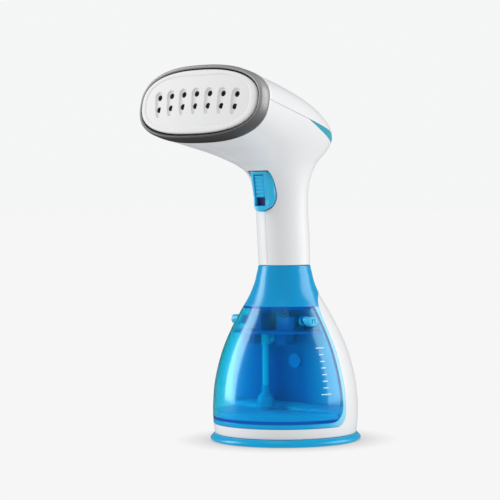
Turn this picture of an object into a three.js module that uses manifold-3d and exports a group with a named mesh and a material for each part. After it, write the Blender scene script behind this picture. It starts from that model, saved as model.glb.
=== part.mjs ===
// Hand-held garment steamer. Millimetres, +Z up, the steam plate faces -Y, symmetric about X = 0,
// standing on the plane Z = 0 with the handle's axis on the Z axis.
import * as THREE from "three";
import { mergeVertices } from "three/addons/utils/BufferGeometryUtils.js";
import Module from "manifold-3d";

const wasm = await Module();
wasm.setup();

// ---------------------------------------------------------------- driving dimensions
const GAP = 0.3; // clearance between neighbouring pieces
const WALL = 2; // moulded walls
const FOOT_R = 58.8;
const BAND_TOP = 13.6; // top of the white band round the base
const TANK_FLOOR = 17.2;
const TANK_ROOF = 104.4;
const TRAY_Z = 84; // underside of the tray that closes the water space
const COLLAR_TOP = 135.7;
const PIN = { y: -21.5, z: 203, r: 1.5 }; // trigger hinge
const TRIGGER = { w: 10.2, zTop: 208.3, zLow: 178.9, front: -28.8, knee: 188.5, lean: 0.13 };
const LOCK = { w: 4.7, low: 188.5, high: 205.5, travel: 6, ribs: 6, pitch: 2.9 };
const LATCH = { x: 39.3, y: -13.4, z: 93.4, w: 10, h: 7 };

// Base outline: height and radius.
const PROFILE = [
  [5, 54.9], [14, 56.1], [26, 56.4], [42, 55.3], [57, 52.4], [72, 47.9],
  [87, 41.4], [101, 33.9], [112, 27.6], [122, 23.4], [130, 21.4],
];
// Handle and head sections: front point (y, z), rear point (y, z), half width, squareness.
const HEAD = [
  [-20.3, 136, 20.3, 136, 20.2, 2],
  [-21.6, 155.7, 20.1, 156.5, 20, 2],
  [-22.8, 174.8, 18.2, 178.8, 20.1, 2],
  [-24.9, 192, 18.6, 199.4, 21.5, 2.02],
  [-30.1, 204.7, 25.8, 215.6, 24.3, 2.2],
  [-40, 211.6, 37.6, 227, 28.5, 2.42],
  [-51.8, 216.1, 40.3, 237.4, 33.2, 2.52],
  [-62.2, 219.9, 26.7, 249.9, 39.1, 2.62],
  [-72.5, 222.9, -2.6, 263, 45.8, 2.66],
  [-84, 225.6, -41.3, 274.8, 52.7, 2.55],
  [-96.2, 228.8, -84.1, 284.1, 60, 2.5],
];
const ROWS = [...PROFILE.map(([z, r]) => [-r, z, r, z, r, 2]), ...HEAD];
const S_HANDLE = PROFILE.length; // section number at the handle's foot
const S_END = ROWS.length - 1; // section number at the bezel
// Side-view lines (z = z0 + slope * y) through the tip of the rear lens.
const LENS_TIP = { y: -23, z: 247.2 };
const SEAM_SLOPE = -0.181;
const LENS_LOW_SLOPE = -0.336;

// Steam plate and bezel: frame on the rear plane of the bezel.
const FACE = {
  y: (HEAD[10][0] + HEAD[10][2]) / 2,
  z: (HEAD[10][1] + HEAD[10][3]) / 2,
  tilt: Math.atan2(HEAD[10][2] - HEAD[10][0], HEAD[10][3] - HEAD[10][1]),
  a: 60,
  b: 28.3,
  n: 2.5,
};
const BEZEL_DEPTH = 13.2; // at the middle
const FACE_SAG = 4; // how far the ends of the face lie behind its middle
const HOLES = { count: 7, pitch: 12.5, rows: 9.3, r: 2.1, fan: 470, sag: 560, up: 1.3 };

// ---------------------------------------------------------------- helpers
const root = new THREE.Group();
root.name = "garment_steamer";

function add(name, geometry) {
  const mesh = new THREE.Mesh(geometry);
  mesh.name = name;
  root.add(mesh);
}

function toSolid(geometry) {
  const g = geometry.clone();
  g.deleteAttribute("normal");
  g.deleteAttribute("uv");
  const m = mergeVertices(g, 1e-4);
  return new wasm.Manifold(
    new wasm.Mesh({
      numProp: 3,
      vertProperties: new Float32Array(m.attributes.position.array),
      triVerts: new Uint32Array(m.index.array),
    }),
  );
}

function fromSolid(solid) {
  const mesh = solid.getMesh();
  const g = new THREE.BufferGeometry();
  const p = new Float32Array(mesh.numVert * 3);
  for (let i = 0; i < mesh.numVert; i++)
    for (let k = 0; k < 3; k++) p[3 * i + k] = mesh.vertProperties[i * mesh.numProp + k];
  g.setAttribute("position", new THREE.BufferAttribute(p, 3));
  g.setIndex(new THREE.BufferAttribute(new Uint32Array(mesh.triVerts), 1));
  return g;
}

const join = (...parts) => fromSolid(parts.map(toSolid).reduce((a, b) => a.add(b)));
const cut = (body, ...tools) => fromSolid(tools.map(toSolid).reduce((a, b) => a.subtract(b), toSolid(body)));
const common = (a, b) => fromSolid(toSolid(a).intersect(toSolid(b)));

function box(x0, x1, y0, y1, z0, z1) {
  const g = new THREE.BoxGeometry(x1 - x0, y1 - y0, z1 - z0);
  return g.translate((x0 + x1) / 2, (y0 + y1) / 2, (z0 + z1) / 2);
}

// A cylinder from point a to point b.
function rod(a, b, r0, r1 = r0, seg = 20) {
  const from = new THREE.Vector3(...a);
  const to = new THREE.Vector3(...b);
  const along = to.clone().sub(from);
  const g = new THREE.CylinderGeometry(r1, r0, along.length(), seg);
  const up = new THREE.Vector3(0, 1, 0);
  g.applyQuaternion(new THREE.Quaternion().setFromUnitVectors(up, along.clone().normalize()));
  const mid = from.add(to).multiplyScalar(0.5);
  return g.translate(mid.x, mid.y, mid.z);
}

// A body turned about the Z axis; the profile runs [radius, z].
function turned(profile, seg = 40) {
  const points = profile.map(([r, z]) => new THREE.Vector2(r, z));
  return facingOut(new THREE.LatheGeometry(points, seg).rotateX(Math.PI / 2));
}

// A prism along X from a side-view outline of [y, z] points.
function sidePrism(outline, x0, x1) {
  const shape = new THREE.Shape(outline.map(([y, z]) => new THREE.Vector2(y, z)));
  const g = new THREE.ExtrudeGeometry(shape, { depth: x1 - x0, bevelEnabled: false, curveSegments: 8 });
  return g.applyMatrix4(new THREE.Matrix4().set(0, 0, 1, x0, 1, 0, 0, 0, 0, 1, 0, 0, 0, 0, 0, 1));
}

// Closed grid solid: front(u, v) and back(u, v) give points for u, v in 0..1.
function slab(nu, nv, front, back) {
  const w = nv + 1;
  const count = (nu + 1) * w;
  const p = [];
  for (const face of [front, back])
    for (let i = 0; i <= nu; i++) for (let j = 0; j <= nv; j++) p.push(...face(i / nu, j / nv));
  const idx = [];
  const quad = (a, b, c, d) => idx.push(a, b, c, a, c, d);
  for (let i = 0; i < nu; i++)
    for (let j = 0; j < nv; j++) {
      const a = i * w + j;
      quad(a, a + w, a + w + 1, a + 1);
      quad(count + a, count + a + 1, count + a + w + 1, count + a + w);
    }
  for (let i = 0; i < nu; i++) {
    const a = i * w;
    quad(a, count + a, count + a + w, a + w);
    const b = i * w + nv;
    quad(b, b + w, count + b + w, count + b);
  }
  for (let j = 0; j < nv; j++) {
    quad(j, j + 1, count + j + 1, count + j);
    const b = nu * w + j;
    quad(b, count + b, count + b + 1, b + 1);
  }
  const g = new THREE.BufferGeometry();
  g.setAttribute("position", new THREE.Float32BufferAttribute(p, 3));
  g.setIndex(idx);
  return facingOut(g);
}

function volume(g) {
  const p = g.attributes.position;
  const at = (i) => new THREE.Vector3().fromBufferAttribute(p, g.index.getX(i));
  let v = 0;
  for (let i = 0; i < g.index.count; i += 3) v += at(i).dot(at(i + 1).cross(at(i + 2))) / 6;
  return v;
}

function flip(g) {
  const a = g.index.array;
  for (let i = 0; i < a.length; i += 3) [a[i + 1], a[i + 2]] = [a[i + 2], a[i + 1]];
  return g;
}

const facingOut = (g) => (volume(g) < 0 ? flip(g) : g);

function mirrored(g) {
  return flip(g.clone().scale(-1, 1, 1));
}

// A ring swept round: section(t) gives the closed section's 3-D points at t in 0..1.
function loop(steps, section) {
  const rings = [];
  for (let i = 0; i < steps; i++) rings.push(section(i / steps));
  const m = rings[0].length;
  const idx = [];
  for (let i = 0; i < steps; i++)
    for (let j = 0; j < m; j++) {
      const k = (j + 1) % m;
      const n = (i + 1) % steps;
      idx.push(i * m + j, n * m + j, n * m + k, i * m + j, n * m + k, i * m + k);
    }
  const g = new THREE.BufferGeometry();
  g.setAttribute("position", new THREE.Float32BufferAttribute(rings.flat(2), 3));
  g.setIndex(idx);
  return facingOut(g);
}

// A round bar along a smooth line through the points.
function pipe(points, r, steps, seg = 10) {
  const path = new THREE.CatmullRomCurve3(points.map((q) => new THREE.Vector3(...q)));
  const shape = new THREE.Shape().absarc(0, 0, r, 0, Math.PI * 2);
  const options = { steps, curveSegments: seg, extrudePath: path, bevelEnabled: false };
  return new THREE.ExtrudeGeometry(shape, options);
}

// A coil spring from a towards b.
function spring(a, b, r, wire, turns) {
  const from = new THREE.Vector3(...a);
  const along = new THREE.Vector3(...b).sub(from);
  const dir = along.clone().normalize();
  const side = new THREE.Vector3(0, 0, 1).cross(dir).normalize();
  if (side.lengthSq() < 0.5) side.set(1, 0, 0);
  const up = dir.clone().cross(side);
  const pts = [];
  for (let i = 0; i <= turns * 8; i++) {
    const t = i / (turns * 8);
    const ang = t * turns * Math.PI * 2;
    const q = from.clone().addScaledVector(along, t);
    q.addScaledVector(side, r * Math.cos(ang)).addScaledVector(up, r * Math.sin(ang));
    pts.push([q.x, q.y, q.z]);
  }
  return pipe(pts, wire, turns * 8, 2);
}

// ---------------------------------------------------------------- the outer skin
// Section number s, as a smooth curve through the rows.
function rowAt(s) {
  const last = ROWS.length - 1;
  const k = Math.min(Math.max(Math.floor(s), 0), last - 1);
  const f = s - k;
  const p1 = ROWS[k];
  const p2 = ROWS[k + 1];
  return p1.map((v, i) => {
    const p0 = k > 0 ? ROWS[k - 1][i] : 2 * v - p2[i];
    const p3 = k + 2 <= last ? ROWS[k + 2][i] : 2 * p2[i] - v;
    const m1 = (p2[i] - p0) / 2;
    const m2 = (p3 - v) / 2;
    return (
      (2 * f ** 3 - 3 * f ** 2 + 1) * v + (f ** 3 - 2 * f ** 2 + f) * m1 +
      (3 * f ** 2 - 2 * f ** 3) * p2[i] + (f ** 3 - f ** 2) * m2
    );
  });
}

// Skin point; phi is 0 at the front, PI at the rear, positive on the +X side.
function skinPoint(s, phi) {
  const [fy, fz, ry, rz, w, n] = rowAt(s);
  const c = -Math.cos(phi);
  const q = Math.sin(phi);
  const t = (Math.sign(c) * Math.abs(c) ** (2 / n) + 1) / 2;
  return new THREE.Vector3(w * Math.sign(q) * Math.abs(q) ** (2 / n), fy + (ry - fy) * t, fz + (rz - fz) * t);
}

// The same point moved in by a depth, square to the skin.
function insetPoint(s, phi, depth) {
  const e = 0.02;
  const ds = skinPoint(Math.min(s + e, S_END), phi).sub(skinPoint(s - e, phi));
  const dp = skinPoint(s, phi + e).sub(skinPoint(s, phi - e));
  const normal = dp.cross(ds).normalize();
  return skinPoint(s, phi).addScaledVector(normal, -depth);
}

// Where a section meets the side-view line z = z0 + slope * (y - y0), as phi.
function phiOnLine(s, slope, shift = 0) {
  const [fy, fz, ry, rz, , n] = rowAt(s);
  const z0 = LENS_TIP.z + shift * Math.hypot(1, slope);
  const t = (z0 + slope * (fy - LENS_TIP.y) - fz) / (rz - fz - slope * (ry - fy));
  const c = Math.min(1, Math.max(-1, 2 * t - 1));
  return Math.acos(-Math.sign(c) * Math.abs(c) ** (n / 2));
}

// Section number at which a side-view line reaches the rear centre line.
function rearOnLine(slope, shift = 0) {
  let lo = S_HANDLE + 4;
  let hi = S_END - 1;
  for (let i = 0; i < 40; i++) {
    const mid = (lo + hi) / 2;
    const [, , ry, rz] = rowAt(mid);
    const z = LENS_TIP.z + shift * Math.hypot(1, slope) + slope * (ry - LENS_TIP.y);
    if (rz > z) hi = mid;
    else lo = mid;
  }
  return (lo + hi) / 2;
}

// Section number of the lens tip: the section whose plane passes nearest the tip's line.
function tipSection() {
  let best = S_END;
  let least = 1e9;
  for (let s = S_HANDLE + 5; s < S_END - 1; s += 0.01) {
    const seam = phiOnLine(s, SEAM_SLOPE);
    const d = Math.abs(seam - phiOnLine(s, LENS_LOW_SLOPE));
    if (seam < 3 && d < least) {
      least = d;
      best = s;
    }
  }
  return best;
}
const S_TIP = tipSection();

const xyz = (v) => [v.x, v.y, v.z];

// Outer radius of the base at a height.
function radiusAt(z) {
  let lo = 0;
  let hi = S_HANDLE;
  for (let i = 0; i < 30; i++) {
    const mid = (lo + hi) / 2;
    if (rowAt(mid)[1] < z) lo = mid;
    else hi = mid;
  }
  return rowAt((lo + hi) / 2)[2];
}

const heights = (z0, z1, n) => Array.from({ length: n + 1 }, (_, i) => z0 + ((z1 - z0) * i) / n);

// Solid of the base, inset from its skin.
function bodySolid(z0, z1, inset, n = 7, seg = 40) {
  const side = heights(z0, z1, n).map((z) => [radiusAt(z) - inset, z]);
  return turned([[0, z0], ...side, [0, z1]], seg);
}

function bodyRing(z0, z1, wall, n = 9, seg = 40) {
  const out = heights(z0, z1, n).map((z) => [radiusAt(z), z]);
  const back = heights(z0, z1, n).reverse().map((z) => [radiusAt(z) - wall, z]);
  return turned([...out, ...back, out[0]], seg);
}

// ---------------------------------------------------------------- side-view outlines of the base
function arcPoints(cy, cz, r, a0, a1, n) {
  const turns = heights(a0, a1, n).map((a) => (a * Math.PI) / 180);
  return turns.map((a) => [cy + r * Math.cos(a), cz + r * Math.sin(a)]);
}

// Border between the frame and the rear housing, from the front bottom to the rear top.
const borderLine = (d) => [
  [-80, BAND_TOP - d],
  [-7, BAND_TOP - d],
  ...arcPoints(-7, BAND_TOP + 11, 11 + d, -90, 0, 5).slice(1),
  [4 + d, 40],
  [2.3 + d, 72],
  [0.8 + d, 92],
  [1.6 + d, 102 - d],
  [5 + d, 108.5 - d],
  [11, 112.8 - d],
  [18, 115.6 - d],
  [26, 117.4 - d],
  [80, 119 - d],
];

const tankBackY = (z) => -3.4 + (TANK_ROOF - z) * 0.052;

// Side view of the tank; d grows it.
const tankOutline = (d) => [
  [-80, TANK_FLOOR - d],
  [-12, TANK_FLOOR - d],
  ...arcPoints(tankBackY(30) - 12.4, TANK_FLOOR + 12.4, 12.4 + d, -90, 0, 5).slice(1),
  [tankBackY(TANK_ROOF) + d, TANK_ROOF + d],
  [-80, TANK_ROOF + d],
];

// ---------------------------------------------------------------- base
function footRing() {
  const top = BAND_TOP - 8;
  return turned([
    [52, 0], [57, 0], [58.2, 0.5], [FOOT_R, 1.6], [FOOT_R - 0.2, 2.8], [57.2, 4.6],
    [55.6, top - 0.15], [52, top - 0.15], [52, 0],
  ]);
}

const SCREW_R = 42;
const screwSpots = [45, 135, 225, 315].map((a) => [
  SCREW_R * Math.cos((a * Math.PI) / 180),
  SCREW_R * Math.sin((a * Math.PI) / 180),
]);

function bottomCover() {
  const disc = turned([[0, 0], [51.2, 0], [51.7, 0.5], [51.7, 3], [0, 3]]);
  const bosses = screwSpots.map(([x, y]) => rod([x, y, 2], [x, y, 9], 4.4, 4.4, 12));
  const wells = screwSpots.map(([x, y]) => rod([x, y, -1], [x, y, 3.5], 3.2, 3.2, 12));
  const bores = screwSpots.map(([x, y]) => rod([x, y, 3], [x, y, 10], 1.7, 1.7, 8));
  return cut(join(disc, ...bosses), ...wells, ...bores);
}

function baseScrew([x, y]) {
  const body = join(rod([x, y, 1.2], [x, y, 3.2], 2.8, 2.8, 12), rod([x, y, 3], [x, y, 8.6], 1.3, 1.3, 8));
  const slotA = box(x - 1.8, x + 1.8, y - 0.35, y + 0.35, 0.5, 2);
  const slotB = box(x - 0.35, x + 0.35, y - 1.8, y + 1.8, 0.5, 2);
  return cut(body, slotA, slotB);
}

const GLAND = { z: 24, r: 6.5 };

function rearHousing() {
  const ring = bodyRing(BAND_TOP - 8 + 0.15, 118.6, WALL);
  const region = sidePrism([...borderLine(GAP / 2), [80, 0], [-80, 0]], -80, 80);
  const hole = rod([0, 40, GLAND.z], [0, 70, GLAND.z], GLAND.r, GLAND.r, 20);
  return cut(common(ring, region), hole);
}

function tankFrame() {
  const ring = bodyRing(BAND_TOP, COLLAR_TOP, WALL + 0.4);
  const region = sidePrism([...borderLine(-GAP / 2), [80, 160], [-80, 160]], -80, 80);
  const shell = cut(common(ring, region), sidePrism(tankOutline(GAP), -80, 80));
  const floor = common(
    bodySolid(BAND_TOP + GAP / 2, TANK_FLOOR - GAP - 0.05, WALL + 0.3, 1),
    box(-70, 70, -70, 2.4, 0, 30),
  );
  const low = TANK_ROOF + 0.4;
  const high = low + 2.2;
  const roof = turned([[5, low], [radiusAt(low) - 1, low], [radiusAt(high) - 1, high], [5, high], [5, low]]);
  const roofFront = cut(roof, sidePrism([...borderLine(-GAP / 2 - 1.2), [80, 0], [-80, 0]], -80, 80));
  return join(shell, floor, roofFront);
}

// The wall behind the tank, with ports for the pump's coupling and the filler plug's pocket.
const OUTLET = { x: -10.5, z: 79 };
const FILLER = { x: 13, z: 62, r: 6 };

function partitionWall() {
  const y = (z) => tankBackY(z);
  const slabShape = sidePrism(
    [[y(30) + 1.2, 30], [y(30) + 3.2, 30], [y(100) + 3.2, 100], [y(100) + 1.2, 100]],
    -80,
    80,
  );
  const plate = common(bodySolid(24, 101, WALL + 1, 9), slabShape);
  const port = rod([OUTLET.x, -20, OUTLET.z], [OUTLET.x, 20, OUTLET.z], 4.6);
  const pocket = rod([FILLER.x, -20, FILLER.z], [FILLER.x, 20, FILLER.z], FILLER.r + 2.6, FILLER.r + 2.6, 24);
  return cut(plate, port, pocket);
}

// ---------------------------------------------------------------- tank
function tankShell() {
  const outer = common(bodySolid(TANK_FLOOR, TANK_ROOF, 0, 8), sidePrism(tankOutline(0), -80, 80));
  const inside = [
    [-80, TANK_FLOOR + WALL],
    [-12, TANK_FLOOR + WALL],
    ...arcPoints(tankBackY(30) - 12.4, TANK_FLOOR + 12.4, 12.4 - WALL, -90, 0, 4).slice(1),
    [80, TANK_FLOOR + 12.4],
    [80, TANK_ROOF - WALL],
    [-80, TANK_ROOF - WALL],
  ];
  const hollow = common(bodySolid(TANK_FLOOR + 1, TANK_ROOF - 1, WALL, 8), sidePrism(inside, -80, 80));
  return cut(outer, hollow, latchWindow(1), latchWindow(-1));
}

function oval(x0, x1, w, h, seg = 5) {
  const r = h / 2;
  const half = w / 2 - r;
  const shape = new THREE.Shape();
  shape.absarc(half, 0, r, -Math.PI / 2, Math.PI / 2);
  shape.absarc(-half, 0, r, Math.PI / 2, (3 * Math.PI) / 2);
  const g = new THREE.ExtrudeGeometry(shape, { depth: x1 - x0, bevelEnabled: false, curveSegments: seg });
  return g
    .applyMatrix4(new THREE.Matrix4().set(0, 0, 1, x0, 1, 0, 0, 0, 0, 1, 0, 0, 0, 0, 0, 1))
    .translate(0, LATCH.y, LATCH.z);
}

function latchWindow(side) {
  const g = oval(24, 60, LATCH.w + 0.8, LATCH.h + 0.8);
  return side > 0 ? g : mirroredPlain(g);
}

function mirroredPlain(g) {
  const m = g.index ? g.clone() : mergeVertices(g);
  return mirrored(m);
}

function tankBack() {
  const y = (z) => tankBackY(z);
  const lo = TANK_FLOOR + 12.4 + GAP;
  const hi = TANK_ROOF - WALL - GAP;
  const side = [[y(lo) - 2.2, lo], [y(lo) - 0.1, lo], [y(hi) - 0.1, hi], [y(hi) - 2.2, hi]];
  const zone = sidePrism(side, -80, 80);
  const plate = common(bodySolid(TANK_FLOOR + 2, TANK_ROOF - 1, WALL + GAP, 9), zone);
  const outlet = rod([OUTLET.x, -20, OUTLET.z], [OUTLET.x, 20, OUTLET.z], 3.4, 3.4, 16);
  const filler = rod([FILLER.x, -20, FILLER.z], [FILLER.x, 20, FILLER.z], FILLER.r, FILLER.r, 24);
  return cut(plate, outlet, filler);
}

function latchTray() {
  const z0 = TRAY_Z;
  const z1 = TRAY_Z + 1.6;
  const front = bodySolid(z0, z1, WALL + GAP, 1);
  const plate = common(front, box(-70, 70, -70, tankBackY(z0) - 2.6, 0, 200));
  const rib = (x0, x1, y0, y1, h) => box(x0, x1, y0, y1, z1 - 0.2, z1 + h);
  const parts = [];
  for (const m of [-1, 1]) {
    const span = (a, b) => [Math.min(m * a, m * b), Math.max(m * a, m * b)];
    parts.push(rib(...span(10, 24), LATCH.y - 6.3, LATCH.y - 4.3, 11));
    parts.push(rib(...span(10, 24), LATCH.y + 4.3, LATCH.y + 6.3, 11));
    parts.push(rib(...span(7.5, 10), LATCH.y - 6.3, LATCH.y + 6.3, 13));
  }
  // Hollow-looking blocks that hang into the water space.
  parts.push(box(-27, -15.5, LATCH.y - 5, LATCH.y + 5, z0 - 9.5, z0 + 0.2));
  parts.push(box(6, 15.5, LATCH.y - 5, LATCH.y + 5, z0 - 9.5, z0 + 0.2));
  return join(plate, ...parts);
}

function tankLatch() {
  const button = oval(31, LATCH.x, LATCH.w, LATCH.h);
  const cheek = oval(28.4, 31.2, LATCH.w, LATCH.h);
  const slide = box(17, 29, LATCH.y - 3.6, LATCH.y + 3.6, LATCH.z - 3, LATCH.z + 3);
  const slots = [-1.6, 1.6].map((o) =>
    box(LATCH.x - 1, LATCH.x + 1, LATCH.y + o - 0.5, LATCH.y + o + 0.5, LATCH.z - 2, LATCH.z + 2),
  );
  return cut(join(slide, cheek, button), ...slots);
}

const latchSpring = () => spring([10.5, LATCH.y, LATCH.z], [13.4, LATCH.y, LATCH.z], 2.2, 0.3, 3);

function fillerPlug() {
  const { x, z, r } = FILLER;
  const y = tankBackY(z);
  const cap = rod([x, y + 0.7, z], [x, y + 2.6, z], r + 1.8, r + 1.8, 24);
  const stem = rod([x, y - 3.4, z], [x, y + 1, z], r - 0.35, r - 0.35, 24);
  const grip = box(x - 4, x + 4, y + 2.4, y + 3.6, z - 1, z + 1);
  return join(cap, stem, grip);
}

function tubeConnector() {
  const { x, z } = OUTLET;
  const y = tankBackY(z);
  const spout = rod([x, y - 9, z], [x, y + 1.4, z], 2.9, 2.9, 16);
  const flange = rod([x, y - 4, z], [x, y - 2.5, z], 4.6, 4.6, 16);
  const drop = rod([x, y - 9, z + 3.2], [x, y - 9, z - 5], 3.4, 3.4, 16);
  const bore = rod([x, y - 9, z], [x, y + 3, z], 1.5, 1.5, 12);
  const boreDown = rod([x, y - 9, z + 1], [x, y - 9, z - 8], 1.5, 1.5, 12);
  return cut(join(spout, flange, drop), bore, boreDown);
}

const TUBE_Y = () => tankBackY(OUTLET.z) - 9;
const WEIGHT_TOP = 42;

function suctionTube() {
  const y = TUBE_Y();
  const wall = rod([OUTLET.x, y, OUTLET.z - 5.3], [OUTLET.x, y, WEIGHT_TOP], 2.4, 2.4, 16);
  const bore = rod([OUTLET.x, y, OUTLET.z], [OUTLET.x, y, WEIGHT_TOP - 5], 1.5, 1.5, 12);
  return cut(wall, bore);
}

function filterWeight() {
  const y = TUBE_Y();
  const z = WEIGHT_TOP - 0.3;
  const g = turned(
    [
      [1.5, z], [3.1, z], [3.1, z - 5], [3.9, z - 6.2], [5.8, z - 8], [6.6, z - 11],
      [6.6, z - 16], [5.6, z - 17], [5.6, z - 18], [1.5, z - 18], [1.5, z],
    ],
    20,
  );
  return g.translate(OUTLET.x, y, 0);
}

// ---------------------------------------------------------------- pump side
const PUMP = { x: -10.5, y: 26, z0: 26, z1: 62, r: 12 };

function waterPump() {
  const { x, y, z0, z1, r } = PUMP;
  const motor = rod([x, y, z0], [x, y, z1], r, r, 24);
  const head = rod([x, y, z1 - 1], [x, y, z1 + 9], r - 2, r - 3, 24);
  const inlet = rod([x, y - 5, z1 + 4], [x, y - 14, z1 + 4], 2.6, 2.6, 14);
  const outlet = rod([x + 4, y, z1 + 8], [x + 4, y, z1 + 15], 2.2, 2.2, 14);
  return join(motor, head, inlet, outlet);
}

function pumpBracket() {
  const { x, y, z0 } = PUMP;
  const foot = box(x - 14, x + 14, y - 13, y + 13, z0 - 3.3, z0 - 0.3);
  const leg = (a, b) => rod([a, b, 3.3], [a, b, z0 - 3], 3, 3, 14);
  return join(foot, leg(x - 8, y - 8), leg(x + 8, y - 8), leg(x - 8, y + 8), leg(x + 8, y + 8));
}

// Rubber elbow from the tank's spout to the pump's inlet.
function inletCoupling() {
  const y0 = tankBackY(OUTLET.z) + 1.7;
  const { x, y, z1 } = PUMP;
  const end = y - 14.3;
  const low = z1 + 4;
  const line = [
    [x, y0, OUTLET.z], [x, y0 + 3.8, OUTLET.z], [x, 6.3, OUTLET.z - 4],
    [x, 6.6, low + 4], [x, 8.6, low + 0.4], [x, end, low],
  ];
  return pipe(line, 2.3, 18, 4);
}

function outletHose() {
  const { x, y, z1 } = PUMP;
  return pipe(
    [
      [x + 4, y, z1 + 15.4], [x + 4, y, z1 + 24], [-4, 11, 112], [-4, 7, 130], [-5, 9, 160], [-6, 8, 190],
      [-8, -2, 212], [-10, -20, 226], [-14, -36, 236],
    ],
    2.2,
    32,
    3,
  );
}

function controlBoard() {
  return box(5, 32, 30, 31.6, 24, 70);
}

const indicatorLed = () => rod([18, 29.7, 66], [18, 25.5, 66], 2.5, 2.5, 14);
const terminalBlock = () => box(6, 28, 18, 29.7, 26, 36);

function cordGland() {
  const r = GLAND.r - 0.2;
  const back = radiusAt(GLAND.z);
  const body = join(
    rod([0, back - 5, GLAND.z], [0, back + 3, GLAND.z], r, r - 0.8, 24),
    rod([0, back - 5, GLAND.z], [0, back - 3.2, GLAND.z], r + 1.6, r + 1.6, 24),
  );
  return cut(body, rod([0, back - 9, GLAND.z], [0, back + 9, GLAND.z], 3.2, 3.2, 16));
}

// ---------------------------------------------------------------- handle and head shells
const SIDE_GAP = GAP / 2;

// A piece of the skin between two section numbers; from and to give phi at a section.
function skinPiece(sections, nv, from, to, wall, clampX) {
  const nu = sections.length - 1;
  const place = (u, v, depth) => {
    const s = sections[Math.round(u * nu)];
    const phi = from(s) + (to(s) - from(s)) * v;
    const p = depth > 0 ? insetPoint(s, phi, depth) : skinPoint(s, phi);
    if (clampX) p.x = Math.max(p.x, SIDE_GAP);
    return xyz(p);
  };
  return slab(nu, nv, (u, v) => place(u, v, 0), (u, v) => place(u, v, wall));
}

function spread(a, b, n, power = 1) {
  return Array.from({ length: n + 1 }, (_, i) => a + (b - a) * (i / n) ** power);
}

function shellRight() {
  const sRear = rearOnLine(LENS_LOW_SLOPE, -SIDE_GAP);
  const low = (s) => {
    if (s <= sRear) return Math.PI;
    return s < S_TIP ? phiOnLine(s, LENS_LOW_SLOPE, -SIDE_GAP) : phiOnLine(s, SEAM_SLOPE, -SIDE_GAP);
  };
  const sections = [
    ...spread(S_HANDLE + 0.01, sRear, 10),
    ...spread(sRear, S_TIP, 6, 2).slice(1),
    ...spread(S_TIP, S_END - 0.02, 4).slice(1),
  ];
  const shell = skinPiece(sections, 12, () => 0, low, WALL, true);
  return cut(shell, triggerColumn(0.6, -60, -10));
}

// Front-view outline shared by the trigger and its opening: straight sides and a rounded foot.
function triggerColumn(grow, y0, y1) {
  const w = TRIGGER.w + grow;
  const low = TRIGGER.zLow - grow * 1.3;
  const shape = new THREE.Shape();
  shape.moveTo(-w, TRIGGER.zTop + grow);
  shape.lineTo(-w, 191);
  shape.quadraticCurveTo(-w * 0.9, low + 0.6, 0, low);
  shape.quadraticCurveTo(w * 0.9, low + 0.6, w, 191);
  shape.lineTo(w, TRIGGER.zTop + grow);
  const g = new THREE.ExtrudeGeometry(shape, { depth: y1 - y0, bevelEnabled: false, curveSegments: 6 });
  return g.rotateX(Math.PI / 2).translate(0, y1, 0);
}

function topCover() {
  const sRear = rearOnLine(SEAM_SLOPE, SIDE_GAP);
  const sections = spread(sRear + 0.004, S_END - 0.02, 9, 2);
  const from = (s) => phiOnLine(s, SEAM_SLOPE, SIDE_GAP);
  return skinPiece(sections, 12, from, (s) => 2 * Math.PI - from(s), WALL, false);
}

// Wedge-shaped lens that wraps round the rear of the head, from tip to tip.
function rearLens() {
  const nu = 20;
  const nv = 2;
  const place = (u, v, depth) => {
    const side = u < 0.5 ? 1 : -1;
    const reach = 1 - Math.abs(2 * u - 1) * 0.985;
    const shift = SIDE_GAP * (2 * v - 1);
    const slope = LENS_LOW_SLOPE + (SEAM_SLOPE - LENS_LOW_SLOPE) * v;
    const sRear = rearOnLine(slope, -shift);
    const s = S_TIP + (sRear - S_TIP) * (1 - (1 - reach) ** 2);
    const phi = reach > 0.9999 ? Math.PI : phiOnLine(s, slope, -shift);
    const p = depth > 0 ? insetPoint(s, phi, depth) : skinPoint(s, phi);
    return [side * p.x, p.y, p.z];
  };
  return slab(nu, nv, (u, v) => place(u, v, 0), (u, v) => place(u, v, WALL));
}

// ---------------------------------------------------------------- bezel, gasket, plate
// A point of the face frame: x across, h up the face, d out of it.
function facePoint(x, h, d) {
  const c = Math.cos(FACE.tilt);
  const k = Math.sin(FACE.tilt);
  return [x, FACE.y + h * k - d * c, FACE.z + h * c + d * k];
}

const faceSag = (x) => FACE_SAG * (x / FACE.a) ** 2;

function outlinePoint(t, offset) {
  const a = t * Math.PI * 2;
  const e = 2 / FACE.n;
  const c = Math.cos(a);
  const q = Math.sin(a);
  return [
    (FACE.a + offset) * Math.sign(c) * Math.abs(c) ** e,
    (FACE.b + offset) * Math.sign(q) * Math.abs(q) ** e,
  ];
}

function faceLoop(section, steps = 40) {
  return loop(steps, (t) =>
    section.map(([offset, depth, follows]) => {
      const [x, h] = outlinePoint(t, offset);
      return facePoint(x, h, depth - (follows ? faceSag(x) : 0));
    }),
  );
}

const bezelRing = () =>
  faceLoop([
    [0, 0.3, false], [0.3, 4, false], [-0.1, BEZEL_DEPTH - 1.6, true], [-0.9, BEZEL_DEPTH - 0.3, true],
    [-1.8, BEZEL_DEPTH, true], [-2.9, BEZEL_DEPTH - 0.4, true], [-2.9, 5, false], [-2.6, 0.3, false],
  ]);

const plateGasket = () =>
  faceLoop([
    [-3.1, 5.2, false], [-3.1, BEZEL_DEPTH - 1.5, true], [-3.9, BEZEL_DEPTH - 1.5, true], [-3.9, 5.2, false],
  ]);

const PLATE_OUT = -4.1; // outline offset of the plate
const PLATE_T = 3.4;

// Steam outlet positions on the face: x, h.
function holeSpot(i, row) {
  const { count, pitch, rows, sag, up } = HOLES;
  const x = (i - (count - 1) / 2) * pitch;
  return [x, up + (row === 0 ? rows / 2 : -rows / 2) - (x * x) / (2 * sag)];
}

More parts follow.
